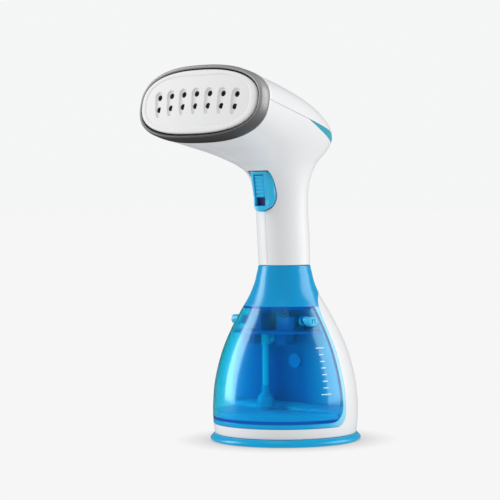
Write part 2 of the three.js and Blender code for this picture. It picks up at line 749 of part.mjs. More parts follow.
function plateHeight(x, h) {
  return BEZEL_DEPTH + 1.2 - faceSag(x) - 0.9 * (h / FACE.b) ** 2;
}

function plateBody() {
  const rings = 2;
  const seg = 36;
  const points = [];
  const idx = [];
  const layer = (top) => {
    const start = points.length / 3;
    points.push(...facePoint(0, 0, top ? plateHeight(0, 0) : plateHeight(0, 0) - PLATE_T));
    for (let r = 1; r <= rings; r++)
      for (let j = 0; j < seg; j++) {
        const [ox, oh] = outlinePoint(j / seg, PLATE_OUT);
        const x = (ox * r) / rings;
        const h = (oh * r) / rings;
        const edge = r === rings ? 1.1 : 0;
        points.push(...facePoint(x, h, plateHeight(x, h) - (top ? edge : PLATE_T)));
      }
    return start;
  };
  const faces = (start, dir) => {
    const tri = (a, b, c) => (dir ? idx.push(a, b, c) : idx.push(a, c, b));
    for (let j = 0; j < seg; j++) {
      const n = (j + 1) % seg;
      tri(start, start + 1 + j, start + 1 + n);
      for (let r = 1; r < rings; r++) {
        const a = start + 1 + (r - 1) * seg;
        tri(a + j, a + seg + j, a + seg + n);
        tri(a + j, a + seg + n, a + n);
      }
    }
  };
  const top = layer(true);
  const low = layer(false);
  faces(top, true);
  faces(low, false);
  const a = top + 1 + (rings - 1) * seg;
  const b = low + 1 + (rings - 1) * seg;
  for (let j = 0; j < seg; j++) {
    const n = (j + 1) % seg;
    idx.push(a + j, b + j, b + n, a + j, b + n, a + n);
  }
  const g = new THREE.BufferGeometry();
  g.setAttribute("position", new THREE.Float32BufferAttribute(points, 3));
  g.setIndex(idx);
  return facingOut(g);
}

// Puts a body made along +Z at a spot of the face, its +Z out of the face.
function onFace(g, x, h, d, turn = 0) {
  const c = Math.cos(FACE.tilt);
  const k = Math.sin(FACE.tilt);
  const out = new THREE.Vector3(0, -c, k);
  const up = new THREE.Vector3(0, k, c);
  const across = up.clone().cross(out);
  const m = new THREE.Matrix4().makeBasis(across, up, out);
  const [px, py, pz] = facePoint(x, h, d);
  return g.rotateZ(turn).applyMatrix4(m).translate(px, py, pz);
}

// Rounded at the top and drawn to a point at the bottom.
function teardrop() {
  const shape = new THREE.Shape();
  shape.absarc(0, HOLES.rows / 2 + 0.6, 3.8, 0, Math.PI);
  shape.quadraticCurveTo(-3.8, -HOLES.rows / 2 - 2, 0, -HOLES.rows / 2 - 6.4);
  shape.quadraticCurveTo(3.8, -HOLES.rows / 2 - 2, 3.8, HOLES.rows / 2 + 0.6);
  return new THREE.ExtrudeGeometry(shape, { depth: 6, bevelEnabled: false, curveSegments: 3 });
}

function steamPlate() {
  const tools = [];
  for (let i = 0; i < HOLES.count; i++) {
    const [xa, ha] = holeSpot(i, 0);
    const [, hb] = holeSpot(i, 1);
    tools.push(onFace(teardrop(), xa, (ha + hb) / 2, plateHeight(xa, ha) - 0.9, -xa / HOLES.fan));
    for (const row of [0, 1]) {
      const [x, h] = holeSpot(i, row);
      const bore = new THREE.CylinderGeometry(HOLES.r, HOLES.r, 20, 8).rotateX(Math.PI / 2);
      tools.push(onFace(bore, x, h, plateHeight(x, h)));
    }
  }
  return cut(plateBody(), ...tools);
}

// ---------------------------------------------------------------- heater
function heaterBlock() {
  const base = new THREE.BoxGeometry(84, 30, 5).translate(0, 0, 2.5);
  const core = new THREE.BoxGeometry(76, 24, 6).translate(0, 0, -2.6);
  return join(onFace(base, 0, 0, -2.5), onFace(core, 0, 0, -2.5));
}

const heatingElement = () =>
  onFace(
    pipe([[-30, 9, 0], [0, 10, 0], [26, 9, 0], [32, 0, 0], [26, -9, 0], [0, -10, 0], [-30, -9, 0]], 2, 20, 4),
    0,
    0,
    -10.6,
  );

const heaterCover = () => onFace(new THREE.BoxGeometry(80, 28, 2), 0, 0, -14.2);
function thermostat() {
  return onFace(new THREE.CylinderGeometry(6.5, 6.5, 6, 20).rotateX(Math.PI / 2), 14, 0, -18.5);
}
const thermalFuse = () => onFace(new THREE.CylinderGeometry(2, 2, 16, 12), -12, 2, -17.6);

function headScrew(x) {
  const head = new THREE.CylinderGeometry(3, 3, 1.8, 14).rotateX(Math.PI / 2);
  const shaft = new THREE.CylinderGeometry(1.3, 1.3, 5.6, 10).rotateX(Math.PI / 2).translate(0, 0, -3.4);
  return onFace(join(head, shaft), x, 0, -16.6);
}

// ---------------------------------------------------------------- trigger
// y of the trigger's front face at height z: upright below the knee, leaning forward above it.
function triggerFront(z) {
  return TRIGGER.front - Math.max(0, z - TRIGGER.knee) * TRIGGER.lean;
}

// A tall box whose front and rear follow the lean, at depths d0 to d1 behind the trigger's face.
function leaning(w, d0, d1, z0, z1) {
  const y0 = TRIGGER.front - (z0 - TRIGGER.knee) * TRIGGER.lean;
  const y1 = TRIGGER.front - (z1 - TRIGGER.knee) * TRIGGER.lean;
  return sidePrism([[y0 + d0, z0], [y0 + d1, z0], [y1 + d1, z1], [y1 + d0, z1]], -w, w);
}

function triggerBody() {
  const zTop = TRIGGER.zTop;
  const side = [
    [triggerFront(160), 160], [-19.5, 160], [-19.5, 199], [-16.5, 199], [-16.5, 206],
    [-24, zTop], [triggerFront(zTop), zTop], [triggerFront(TRIGGER.knee), TRIGGER.knee],
  ];
  const blank = sidePrism(side, -TRIGGER.w, TRIGGER.w);
  // Plan section: a flat face, flanks that widen to full width, and straight sides inside the handle.
  const plan = new THREE.Shape();
  plan.moveTo(-10.2, -8);
  plan.lineTo(10.2, -8);
  plan.lineTo(10.2, -24);
  plan.lineTo(7.1, -28.4);
  plan.lineTo(6.5, -29);
  plan.lineTo(-6.5, -29);
  plan.lineTo(-7.1, -28.4);
  plan.lineTo(-10.2, -24);
  const upright = new THREE.ExtrudeGeometry(plan, { depth: 60, bevelEnabled: false });
  const lean = new THREE.Matrix4().set(1, 0, 0, 0, 0, 1, -TRIGGER.lean, 0, 0, 0, 1, 0, 0, 0, 0, 1);
  const lower = common(upright.clone().translate(0, 0, TRIGGER.knee - 60), blank);
  const upper = common(upright.clone().applyMatrix4(lean).translate(0, 0, TRIGGER.knee), blank);
  const body = common(join(lower, upper), triggerColumn(0, -60, 0));
  const pinHole = rod([-20, PIN.y, PIN.z], [20, PIN.y, PIN.z], PIN.r + 0.2, PIN.r + 0.2, 14);
  const track = leaning(LOCK.w + 0.3, -9, 2.4, LOCK.low - LOCK.travel - 0.6, LOCK.high + 0.4);
  return cut(join(body, triggerLip()), pinHole, track);
}

// The rounded lower end of the trigger's face, which hangs in front of the handle.
function triggerLip() {
  const shape = new THREE.Shape();
  const low = TRIGGER.zLow - 1.5;
  shape.moveTo(-6.5, low + 6.7);
  shape.quadraticCurveTo(-6.2, low + 0.1, 0, low);
  shape.quadraticCurveTo(6.2, low + 0.1, 6.5, low + 6.7);
  const g = new THREE.ExtrudeGeometry(shape, { depth: 1.5, bevelEnabled: false, curveSegments: 6 });
  return g.rotateX(Math.PI / 2).translate(0, TRIGGER.front + 1.5, 0);
}

// Ribbed slider in the trigger's track; it locks the trigger when moved down.
function triggerLock() {
  const plate = leaning(LOCK.w, 0.9, 2.1, LOCK.low, LOCK.high);
  const ribs = [];
  for (let i = 0; i < LOCK.ribs; i++) {
    const z = LOCK.low + 0.6 + i * LOCK.pitch;
    ribs.push(leaning(LOCK.w - 0.5, 0.1, 1.2, z, z + 1.3));
  }
  return join(plate, ...ribs);
}

const triggerPin = () => rod([-11.5, PIN.y, PIN.z], [11.5, PIN.y, PIN.z], PIN.r, PIN.r, 14);
const triggerSpring = () => spring([0, -16.1, 181], [0, -12.8, 181], 3, 0.35, 3);
const microSwitch = () => box(-5, 5, -17.2, -9, 186, 198);

function triggerBracket() {
  return join(box(-9, 9, -8.7, -6.7, 174, 200), rod([0, -12.1, 181], [0, -8, 181], 3.8, 3.8, 16));
}

// ---------------------------------------------------------------- assembly
add("foot_ring", footRing());
add("bottom_cover", bottomCover());
screwSpots.forEach((spot, i) => add(`base_screw_${i + 1}`, baseScrew(spot)));
add("rear_housing", rearHousing());
add("tank_frame", tankFrame());
add("partition_wall", partitionWall());
add("tank_shell", tankShell());
add("tank_back", tankBack());
add("latch_tray", latchTray());
add("tank_latch_right", tankLatch());
add("tank_latch_left", mirrored(tankLatch()));
add("latch_spring_right", latchSpring());
add("latch_spring_left", mirroredPlain(latchSpring()));
add("filler_plug", fillerPlug());
add("tube_connector", tubeConnector());
add("suction_tube", suctionTube());
add("filter_weight", filterWeight());
add("water_pump", waterPump());
add("pump_bracket", pumpBracket());
add("inlet_coupling", inletCoupling());
add("outlet_hose", outletHose());
add("control_board", controlBoard());
add("indicator_led", indicatorLed());
add("terminal_block", terminalBlock());
add("cord_gland", cordGland());
const right = shellRight();
add("shell_right", right);
add("shell_left", mirrored(right));
add("head_top_cover", topCover());
add("rear_lens", rearLens());
add("bezel_ring", bezelRing());
add("plate_gasket", plateGasket());
add("steam_plate", steamPlate());
add("heater_block", heaterBlock());
add("heating_element", heatingElement());
add("heater_cover", heaterCover());
add("thermostat", thermostat());
add("thermal_fuse", thermalFuse());
add("head_screw_left", headScrew(-37));
add("head_screw_right", headScrew(37));
add("trigger", triggerBody());
add("trigger_lock", triggerLock());
add("trigger_pin", triggerPin());
add("trigger_spring", triggerSpring());
add("micro_switch", microSwitch());
add("trigger_bracket", triggerBracket());

export default root;
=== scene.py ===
import math

import bpy
import numpy as np
from mathutils import Matrix, Vector

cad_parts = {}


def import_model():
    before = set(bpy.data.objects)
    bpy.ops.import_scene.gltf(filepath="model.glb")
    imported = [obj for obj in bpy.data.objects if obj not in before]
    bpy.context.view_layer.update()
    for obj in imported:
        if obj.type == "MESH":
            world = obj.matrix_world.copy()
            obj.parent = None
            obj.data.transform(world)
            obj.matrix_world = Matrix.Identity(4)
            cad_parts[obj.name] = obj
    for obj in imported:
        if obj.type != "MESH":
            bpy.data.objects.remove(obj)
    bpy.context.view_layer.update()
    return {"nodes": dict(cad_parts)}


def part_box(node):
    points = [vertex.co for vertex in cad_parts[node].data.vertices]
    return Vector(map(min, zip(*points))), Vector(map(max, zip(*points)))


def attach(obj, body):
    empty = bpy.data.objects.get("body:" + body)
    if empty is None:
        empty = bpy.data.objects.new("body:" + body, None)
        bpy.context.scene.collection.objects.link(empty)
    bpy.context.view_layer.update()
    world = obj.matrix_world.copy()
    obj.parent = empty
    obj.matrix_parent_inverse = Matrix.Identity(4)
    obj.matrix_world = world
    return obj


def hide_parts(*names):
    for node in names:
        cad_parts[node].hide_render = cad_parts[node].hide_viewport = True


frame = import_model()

MM = 0.001

# ------------------------------------------------------------ dimensions, in millimetres
GAP = 0.3
WALL = 2.0
BAND_TOP = 13.6
TANK_FLOOR = 17.2
TANK_ROOF = 104.4
TANK_CORNER = 12.4
COLLAR_TOP = 135.7
REACH = 80  # past the object on every side, for cutting
# Base outline: height and radius.
PROFILE = [
    (5, 54.9), (14, 56.1), (26, 56.4), (42, 55.3), (57, 52.4), (72, 47.9),
    (87, 41.4), (101, 33.9), (112, 27.6), (122, 23.4), (130, 21.4),
]
# Handle and head sections: front point (y, z), rear point (y, z), half width, squareness.
HEAD = [
    (-20.3, 136, 20.3, 136, 20.2, 2),
    (-21.6, 155.7, 20.1, 156.5, 20, 2),
    (-22.8, 174.8, 18.2, 178.8, 20.1, 2),
    (-24.9, 192, 18.6, 199.4, 21.5, 2.02),
    (-30.1, 204.7, 25.8, 215.6, 24.3, 2.2),
    (-40, 211.6, 37.6, 227, 28.5, 2.42),
    (-51.8, 216.1, 40.3, 237.4, 33.2, 2.52),
    (-62.2, 219.9, 26.7, 249.9, 39.1, 2.62),
    (-72.5, 222.9, -2.6, 263, 45.8, 2.66),
    (-84, 225.6, -41.3, 274.8, 52.7, 2.55),
    (-96.2, 228.8, -84.1, 284.1, 60, 2.5),
]
ROWS = np.array([(-r, z, r, z, r, 2) for z, r in PROFILE] + HEAD, float)
S_HANDLE = len(PROFILE)
S_END = len(ROWS) - 1
S_BEZEL = S_END - 0.02  # the shells stop just short of the bezel
LENS_TIP = (-23, 247.2)
SEAM_SLOPE = -0.181
LENS_LOW_SLOPE = -0.336

FACE_Y = (HEAD[-1][0] + HEAD[-1][2]) / 2
FACE_Z = (HEAD[-1][1] + HEAD[-1][3]) / 2
FACE_TILT = math.atan2(HEAD[-1][2] - HEAD[-1][0], HEAD[-1][3] - HEAD[-1][1])
FACE_A = 60
FACE_B = 28.3
FACE_N = 2.5
FACE_SAG = 4
BEZEL_DEPTH = 13.2
PLATE_OUT = -4.1
HOLE_COUNT = 7
HOLE_PITCH = 12.5
HOLE_ROWS = 9.3
HOLE_R = 2.1
HOLE_UP = 1.3
FAN_R = 470
SAG_R = 560
RIM_WIDTH = 1.6
RIM_DROP = 1.3
SLOT_TOP = HOLE_ROWS / 2 + 0.6
SLOT_LOW = -HOLE_ROWS / 2 - 6.4
SLOT_HALF = 3.9
SLOT_END_R = 3.8
SLOT_TAPER = 0.34
SLOT_DEPTH = 1.3
HOLE_DEPTH = 2.6
POST_R = 0.75
POST_UP = 1.3

TRIGGER_W = 10.2
TRIGGER_TOP = 208.3
TRIGGER_LOW = 178.9
TRIGGER_FRONT = -28.8
TRIGGER_KNEE = 188.5
TRIGGER_LEAN = 0.13
TRIGGER_FOOT = 191
LIP_LOW = TRIGGER_LOW - 1.5
LIP_TOP = LIP_LOW + 6.7
LOCK_W = 4.7
LOCK_LOW = 188.5
LOCK_HIGH = 205.5
LOCK_RIBS = 6
LOCK_PITCH = 2.9
LATCH = (39.3, -13.4, 93.4, 10, 7)

MARK_COUNT = 8
MARK_TOP = 73.7
MARK_LOW = 39.1
MARK_ANGLE = math.radians(73)
SMOOTH_ANGLE = math.radians(38)


# ------------------------------------------------------------ materials
GRAIN_DEPTH = 0.00005


def principled(name, color, roughness, **sockets):
    """A Principled material; sockets are set by their names with underscores for spaces."""
    mat = bpy.data.materials.new(name)
    mat.use_nodes = True
    shader = mat.node_tree.nodes["Principled BSDF"]
    shader.inputs["Base Color"].default_value = (*color, 1)
    shader.inputs["Roughness"].default_value = roughness
    for key, value in sockets.items():
        shader.inputs[key.replace("_", " ")].default_value = value
    return mat


def add_grain(mat, scale, strength):
    """A fine moulded or blasted grain, as a small bump."""
    nodes, links = mat.node_tree.nodes, mat.node_tree.links
    coords = nodes.new("ShaderNodeTexCoord")
    noise = nodes.new("ShaderNodeTexNoise")
    noise.inputs["Scale"].default_value = scale
    noise.inputs["Detail"].default_value = 3
    bump = nodes.new("ShaderNodeBump")
    bump.inputs["Strength"].default_value = strength
    bump.inputs["Distance"].default_value = GRAIN_DEPTH
    links.new(coords.outputs["Object"], noise.inputs["Vector"])
    links.new(noise.outputs["Fac"], bump.inputs["Height"])
    links.new(bump.outputs["Normal"], nodes["Principled BSDF"].inputs["Normal"])
    return mat


def add_gradient(mat, axis, low, high, colors):
    """Colour that changes along an axis, in metres, through evenly spaced colours; here it paints in light
    and shade.
    """
    nodes, links = mat.node_tree.nodes, mat.node_tree.links
    coords = nodes.new("ShaderNodeTexCoord")
    split = nodes.new("ShaderNodeSeparateXYZ")
    span = nodes.new("ShaderNodeMapRange")
    span.inputs["From Min"].default_value = low
    span.inputs["From Max"].default_value = high
    ramp = nodes.new("ShaderNodeValToRGB")
    stops = ramp.color_ramp.elements
    while len(stops) < len(colors):
        stops.new(0.5)
    for i, color in enumerate(colors):
        stops[i].position = i / (len(colors) - 1)
        stops[i].color = (*color, 1)
    links.new(coords.outputs["Object"], split.inputs[0])
    links.new(split.outputs[axis], span.inputs["Value"])
    links.new(span.outputs["Result"], ramp.inputs["Fac"])
    links.new(ramp.outputs["Color"], nodes["Principled BSDF"].inputs["Base Color"])
    return mat


def tinted_glass(name, tint, roughness, passed):
    """Clear tinted plastic that lets the lamps' light through to what it holds."""
    mat = principled(
        name, tint, roughness, Transmission_Weight=1.0, IOR=1.45, Coat_Weight=0.5, Coat_IOR=1.6,
        Coat_Roughness=0.24,
    )
    nodes, links = mat.node_tree.nodes, mat.node_tree.links
    through = nodes.new("ShaderNodeBsdfTransparent")
    through.inputs["Color"].default_value = (*passed, 1)
    path = nodes.new("ShaderNodeLightPath")
    lighting = nodes.new("ShaderNodeMath")
    lighting.operation = "MAXIMUM"
    mix = nodes.new("ShaderNodeMixShader")
    links.new(path.outputs["Is Shadow Ray"], lighting.inputs[0])
    links.new(path.outputs["Is Diffuse Ray"], lighting.inputs[1])
    links.new(lighting.outputs["Value"], mix.inputs["Fac"])
    links.new(nodes["Principled BSDF"].outputs["BSDF"], mix.inputs[1])
    links.new(through.outputs["BSDF"], mix.inputs[2])
    links.new(mix.outputs["Shader"], nodes["Material Output"].inputs["Surface"])
    return mat


WHITE = add_grain(
    principled("white_plastic", (0.765, 0.775, 0.785), 0.30, Specular_IOR_Level=0.35), 900, 0.05,
)
TANK = tinted_glass("tank_blue", (0.02, 0.80, 0.97), 0.10, (0.35, 0.85, 0.98))
# Painted light on the tank's back and partition: lighter cyan at both sides, where light glows through, and
# painted shade that is darkest in the middle.
TANK_BACK_PAINTED_LIGHT = add_gradient(
    principled("tank_back_blue_painted_light", (0.0, 0.20, 0.78), 0.3, Specular_IOR_Level=0.2), "X", -0.052, 0.044,
    [(0.0, 0.46, 0.78), (0.0, 0.20, 0.56), (0.0, 0.06, 0.37), (0.0, 0.15, 0.48), (0.0, 0.50, 0.74)],
)
# Painted glow: lighter cyan at the bottom of the tank's thick lower end and at its rear edges, darker going
# up.
SUMP_PAINTED_GLOW = add_gradient(
    principled("sump_cyan_painted_glow", (0.0, 0.42, 0.85), 0.4, Specular_IOR_Level=0.2), "Z", 0.018, 0.050,
    [(0.0, 0.48, 0.74), (0.0, 0.48, 0.76), (0.0, 0.28, 0.66), (0.0, 0.14, 0.50)],
)
FRAME = principled(
    "frame_blue", (0.0, 0.31, 0.65), 0.22, Specular_IOR_Level=0.9, Specular_Tint=(0.7, 0.95, 1.0, 1),
    Sheen_Weight=0.7, Sheen_Tint=(0.1, 0.85, 1.0, 1), Sheen_Roughness=0.35,
)
# Painted highlight: the frame's sill and rails turn pale cyan toward the rear, beside the white housing.
RIM_PAINTED_HIGHLIGHT = add_gradient(
    principled("rim_cyan_painted_highlight", (0.0, 0.36, 0.72), 0.2), "Y", -0.05, 0.004,
    [(0.0, 0.35, 0.70), (0.0, 0.37, 0.72), (0.04, 0.46, 0.78), (0.32, 0.70, 0.85)],
)
# Painted glow: the clear plastic's cut edges and the seal shine faintly blue by emission, though they are no
# lamp.
EDGE_PAINTED_GLOW = principled(
    "edge_blue_painted_glow", (0.0, 0.11, 0.50), 0.3, Specular_IOR_Level=0.3,
    Emission_Color=(0.0, 0.16, 0.46, 1), Emission_Strength=0.4,
)
RING = principled(
    "ring_blue", (0.0, 0.36, 0.68), 0.25, Specular_IOR_Level=0.8, Specular_Tint=(0.7, 0.95, 1.0, 1),
    Sheen_Weight=0.5, Sheen_Tint=(0.4, 0.95, 1.0, 1), Sheen_Roughness=0.3,
)
TRIGGER = principled(
    "trigger_blue", (0.03, 0.46, 0.76), 0.18, Specular_IOR_Level=0.7, Sheen_Weight=0.8,
    Sheen_Tint=(0.5, 0.95, 1.0, 1), Sheen_Roughness=0.3,
)
LENS = principled(
    "lens_teal", (0.02, 0.36, 0.50), 0.12, Specular_IOR_Level=0.9, Sheen_Weight=0.8,
    Sheen_Tint=(0.4, 0.95, 1.0, 1), Sheen_Roughness=0.3,
)
# Painted shade and highlight on the bezel: near black at the bottom, lightest on the upper flank, a little
# darker at the top.
BEZEL_SHADE_AND_HIGHLIGHT_GREYS = (0.04, 0.16, 0.36, 0.42, 0.33)
BEZEL = add_gradient(
    add_grain(principled("dark_silver", (0.26, 0.26, 0.262), 0.40, Metallic=0.35), 1400, 0.06),
    "Z", 0.229, 0.284, [(grey, grey, grey) for grey in BEZEL_SHADE_AND_HIGHLIGHT_GREYS],
)
PLATE = add_grain(
    principled("plate_metal", (0.70, 0.70, 0.70), 0.5, Specular_IOR_Level=0.25), 1500, 0.08,
)
BLACK = principled("black_rubber", (0.008, 0.008, 0.008), 0.6, Specular_IOR_Level=0.2)
# Painted shade: near-black navy for the back of the trigger lock's recess.
NAVY_PAINTED_SHADE = principled("slot_navy_painted_shade", (0.0, 0.02, 0.14), 0.4)
CLEAR_TUBE = principled("clear_tube", (0.35, 0.80, 0.95), 0.2)
TRAY = principled("tray_blue", (0.0, 0.13, 0.46), 0.6, Specular_IOR_Level=0.1)
PLUG = principled("plug_blue", (0.0, 0.24, 0.68), 0.3)
STEEL = principled("steel", (0.62, 0.62, 0.63), 0.3, Metallic=1)
DARK = add_grain(principled("dark_plastic", (0.03, 0.03, 0.035), 0.45), 900, 0.1)
GREY = principled("grey_plastic", (0.42, 0.44, 0.46), 0.4)
BOARD = principled("green_board", (0.02, 0.12, 0.05), 0.35)
CAST = principled("cast_aluminium", (0.6, 0.6, 0.6), 0.45, Metallic=1)
LED = principled("led_lens", (0.8, 0.85, 0.9), 0.2)
MARK = principled("scale_marks", (0.55, 0.85, 0.95), 0.4)


# ------------------------------------------------------------ mesh helpers
def finish_mesh(ob, material):
    """One material, and smooth faces with sharp corners."""
    mesh = ob.data
    mesh.materials.clear()
    mesh.materials.append(material)
    mesh.shade_smooth()
    mesh.set_sharp_from_angle(angle=SMOOTH_ANGLE)
    return ob


def make(name, points, faces, material):
    """A new object from points in millimetres."""
    mesh = bpy.data.meshes.new(name)
    mesh.from_pydata((np.asarray(points, float) * MM).tolist(), [], [tuple(f) for f in faces])
    mesh.update()
    ob = bpy.data.objects.new(name, mesh)
    bpy.context.scene.collection.objects.link(ob)
    return finish_mesh(ob, material)


def apply_modifiers(ob):
    bpy.context.view_layer.update()
    graph = bpy.context.evaluated_depsgraph_get()
    mesh = bpy.data.meshes.new_from_object(ob.evaluated_get(graph))
    ob.modifiers.clear()
    ob.data = mesh
    return ob


def boolean(ob, tool, operation="DIFFERENCE"):
    """Cuts, joins or intersects the object with a tool, which is then removed."""
    mod = ob.modifiers.new("cut", "BOOLEAN")
    mod.operation = operation
    mod.solver = "EXACT"
    mod.object = tool
    apply_modifiers(ob)
    bpy.data.objects.remove(tool)
    return ob


def bevel(ob, width, segments=2, angle=45):
    mod = ob.modifiers.new("bevel", "BEVEL")
    mod.width = width * MM
    mod.segments = segments
    mod.limit_method = "ANGLE"
    mod.angle_limit = math.radians(angle)
    mod.harden_normals = False
    apply_modifiers(ob)
    ob.data.shade_smooth()
    ob.data.set_sharp_from_angle(angle=math.radians(50))
    return ob


def place(ob, body, slot, *nodes):
    """The object rides on a body and stands for CAD nodes, which it hides; the slot is not used."""
    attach(ob, body)
    if nodes:
        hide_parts(*nodes)
    return ob


def slab(name, front, back, material):
    """Closed plate between two grids of points, each (rows, columns, 3)."""
    nu, nv = front.shape[0] - 1, front.shape[1] - 1
    w = nv + 1
    n = (nu + 1) * w
    points = np.concatenate([front.reshape(-1, 3), back.reshape(-1, 3)])
    i, j = np.meshgrid(np.arange(nu), np.arange(nv), indexing="ij")
    a = (i * w + j).ravel()
    faces = [
        np.stack([a, a + w, a + w + 1, a + 1], 1),
        np.stack([n + a, n + a + 1, n + a + w + 1, n + a + w], 1),
    ]
    r = np.arange(nu) * w
    faces.append(np.stack([r, n + r, n + r + w, r + w], 1))
    r = r + nv
    faces.append(np.stack([r, r + w, n + r + w, n + r], 1))
    c = np.arange(nv)
    faces.append(np.stack([c, c + 1, n + c + 1, n + c], 1))
    c = c + nu * w
    faces.append(np.stack([c, n + c, n + c + 1, c + 1], 1))
    ob = make(name, points, np.concatenate(faces).tolist(), material)
    return face_out(ob)


def face_out(ob):
    """Turns the faces outwards if the closed mesh's volume is negative."""
    mesh = ob.data
    mesh.calc_loop_triangles()
    tri = np.zeros(len(mesh.loop_triangles) * 3, int)
    mesh.loop_triangles.foreach_get("vertices", tri)
    co = np.zeros(len(mesh.vertices) * 3)
    mesh.vertices.foreach_get("co", co)
    p = co.reshape(-1, 3)[tri.reshape(-1, 3)]
    if np.einsum("ij,ij->i", p[:, 0], np.cross(p[:, 1], p[:, 2])).sum() < 0:
        mesh.flip_normals()
    return ob


def loop_mesh(name, rings, material):
    """Closed ring from rings of points, (steps, section, 3); both directions close on themselves."""
    steps, m = rings.shape[:2]
    i, j = np.meshgrid(np.arange(steps), np.arange(m), indexing="ij")
    i, j = i.ravel(), j.ravel()
    n, k = (i + 1) % steps, (j + 1) % m
    faces = np.stack([i * m + j, n * m + j, n * m + k, i * m + k], 1)
    return face_out(make(name, rings.reshape(-1, 3), faces.tolist(), material))


def revolve(profile, seg):
    """Points (steps, section, 3) of a profile of (radius, z) that turns about Z."""
    a = np.linspace(0, 2 * math.pi, seg, endpoint=False)
    r, z = profile[:, 0], profile[:, 1]
    return np.stack([np.outer(np.sin(a), r), -np.outer(np.cos(a), r), np.tile(z, (seg, 1))], -1)


def turned(name, profile, material, seg):
    """A body of revolution about Z; its profile closes, or starts and ends on the axis."""
    profile = np.array(profile, float)
    if np.allclose(profile[0], profile[-1]):
        return loop_mesh(name, revolve(profile[:-1], seg), material)
    mid = profile[1:-1]
    m = len(mid)
    poles = [[0, 0, profile[0][1]], [0, 0, profile[-1][1]]]
    points = np.concatenate([revolve(mid, seg).reshape(-1, 3), poles])
    faces = []
    for i in range(seg):
        n = (i + 1) % seg
        for j in range(m - 1):
            faces.append((i * m + j, n * m + j, n * m + j + 1, i * m + j + 1))
        faces.append((seg * m, n * m, i * m))
        faces.append((seg * m + 1, i * m + m - 1, n * m + m - 1))
    return face_out(make(name, points, faces, material))


def prism(name, outline, axis, low, high):
    """A prism from an outline, along x (outline is y, z), y (outline is x, z) or z (outline is x, y)."""
    outline = np.array(outline, float)
    n = len(outline)
    order = {"x": (2, 0, 1), "y": (0, 2, 1), "z": (0, 1, 2)}[axis]
    points = []
    for h in (low, high):
        block = np.column_stack([outline, np.full(n, h)])
        points.append(block[:, order])
    faces = [tuple(range(n)), tuple(range(2 * n - 1, n - 1, -1))]
    faces += [(i, i + n, (i + 1) % n + n, (i + 1) % n) for i in range(n)]
    return face_out(make(name, np.concatenate(points), faces, BLACK))


def across(outline):
    """A prism from a side view, right across the object, to cut with."""
    return prism("cut", outline, "x", -REACH, REACH)


def rounded(points, radii, steps):
    """Rounds the inner corners of a polyline, with one radius for each inner point."""
    points = [np.array(p, float) for p in points]
    out = [points[0]]
    for i in range(1, len(points) - 1):
        r = radii[i - 1]
        p, q, s = points[i - 1], points[i], points[i + 1]
        a, b = (p - q), (s - q)
        la, lb = np.linalg.norm(a), np.linalg.norm(b)
        cut = min(r, la * 0.45, lb * 0.45)
        start, end = q + a / la * cut, q + b / lb * cut
        for t in np.linspace(0, 1, steps):
            out.append((1 - t) ** 2 * start + 2 * t * (1 - t) * q + t * t * end)
    out.append(points[-1])
    return out


def smooth_line(points, steps=6):
    """Catmull-Rom curve through the points."""
    p = np.array(points, float)
    p = np.vstack([2 * p[0] - p[1], p, 2 * p[-1] - p[-2]])
    out = []
    for i in range(1, len(p) - 2):
        for t in np.linspace(0, 1, steps, endpoint=False):
            a, b, c, d = p[i - 1], p[i], p[i + 1], p[i + 2]
            square = (2 * a - 5 * b + 4 * c - d) * t**2
            cube = (3 * b - a - 3 * c + d) * t**3
            out.append(0.5 * (2 * b + (c - a) * t + square + cube))
    out.append(p[-2])
    return out


def arc(cy, cz, r, a0, a1, n):
    """n points of an arc in side view, between two angles in degrees."""
    a = np.radians(np.linspace(a0, a1, n))
    return list(np.stack([cy + r * np.cos(a), cz + r * np.sin(a)], 1))


# ------------------------------------------------------------ the outer skin
def row_at(s):
    """Section values at section numbers s, as smooth curves through the rows."""
    s = np.asarray(s, float)
    last = len(ROWS) - 1
    padded = np.vstack([2 * ROWS[0] - ROWS[1], ROWS, 2 * ROWS[-1] - ROWS[-2]])
    k = np.clip(np.floor(s).astype(int), 0, last - 1)
    f = (s - k)[..., None]
    p0, p1, p2, p3 = padded[k], padded[k + 1], padded[k + 2], padded[k + 3]
    m1, m2 = (p2 - p0) / 2, (p3 - p1) / 2
    from_p1, from_p2 = 2 * f**3 - 3 * f**2 + 1, 3 * f**2 - 2 * f**3
    from_m1, from_m2 = f**3 - 2 * f**2 + f, f**3 - f**2
    return from_p1 * p1 + from_m1 * m1 + from_p2 * p2 + from_m2 * m2


def power(x, e):
    """x to a power, keeping its sign."""
    return np.sign(x) * np.abs(x) ** e


def skin(s, phi):
    """Skin points; phi is 0 at the front, pi at the rear, positive on the +X side."""
    fy, fz, ry, rz, w, n = np.moveaxis(row_at(s), -1, 0)
    t = (power(-np.cos(phi), 2 / n) + 1) / 2
    return np.stack([w * power(np.sin(phi), 2 / n), fy + (ry - fy) * t, fz + (rz - fz) * t], -1)


def inset(s, phi, depth):
    """Points at a depth under the skin, along its normal."""
    e = 0.02
    ds = skin(np.minimum(s + e, S_END), phi) - skin(s - e, phi)
    dp = skin(s, phi + e) - skin(s, phi - e)
    normal = np.cross(dp, ds)
    normal /= np.linalg.norm(normal, axis=-1, keepdims=True)
    return skin(s, phi) - normal * depth


def phi_on_line(s, slope, shift=0.0):
    """phi where sections meet the side-view line through the lens tip, moved up by shift."""
    fy, fz, ry, rz, _, n = np.moveaxis(row_at(s), -1, 0)
    z0 = LENS_TIP[1] + shift * math.hypot(1, slope)
    t = (z0 + slope * (fy - LENS_TIP[0]) - fz) / (rz - fz - slope * (ry - fy))
    c = np.clip(2 * t - 1, -1, 1)
    return np.arccos(-power(c, n / 2))


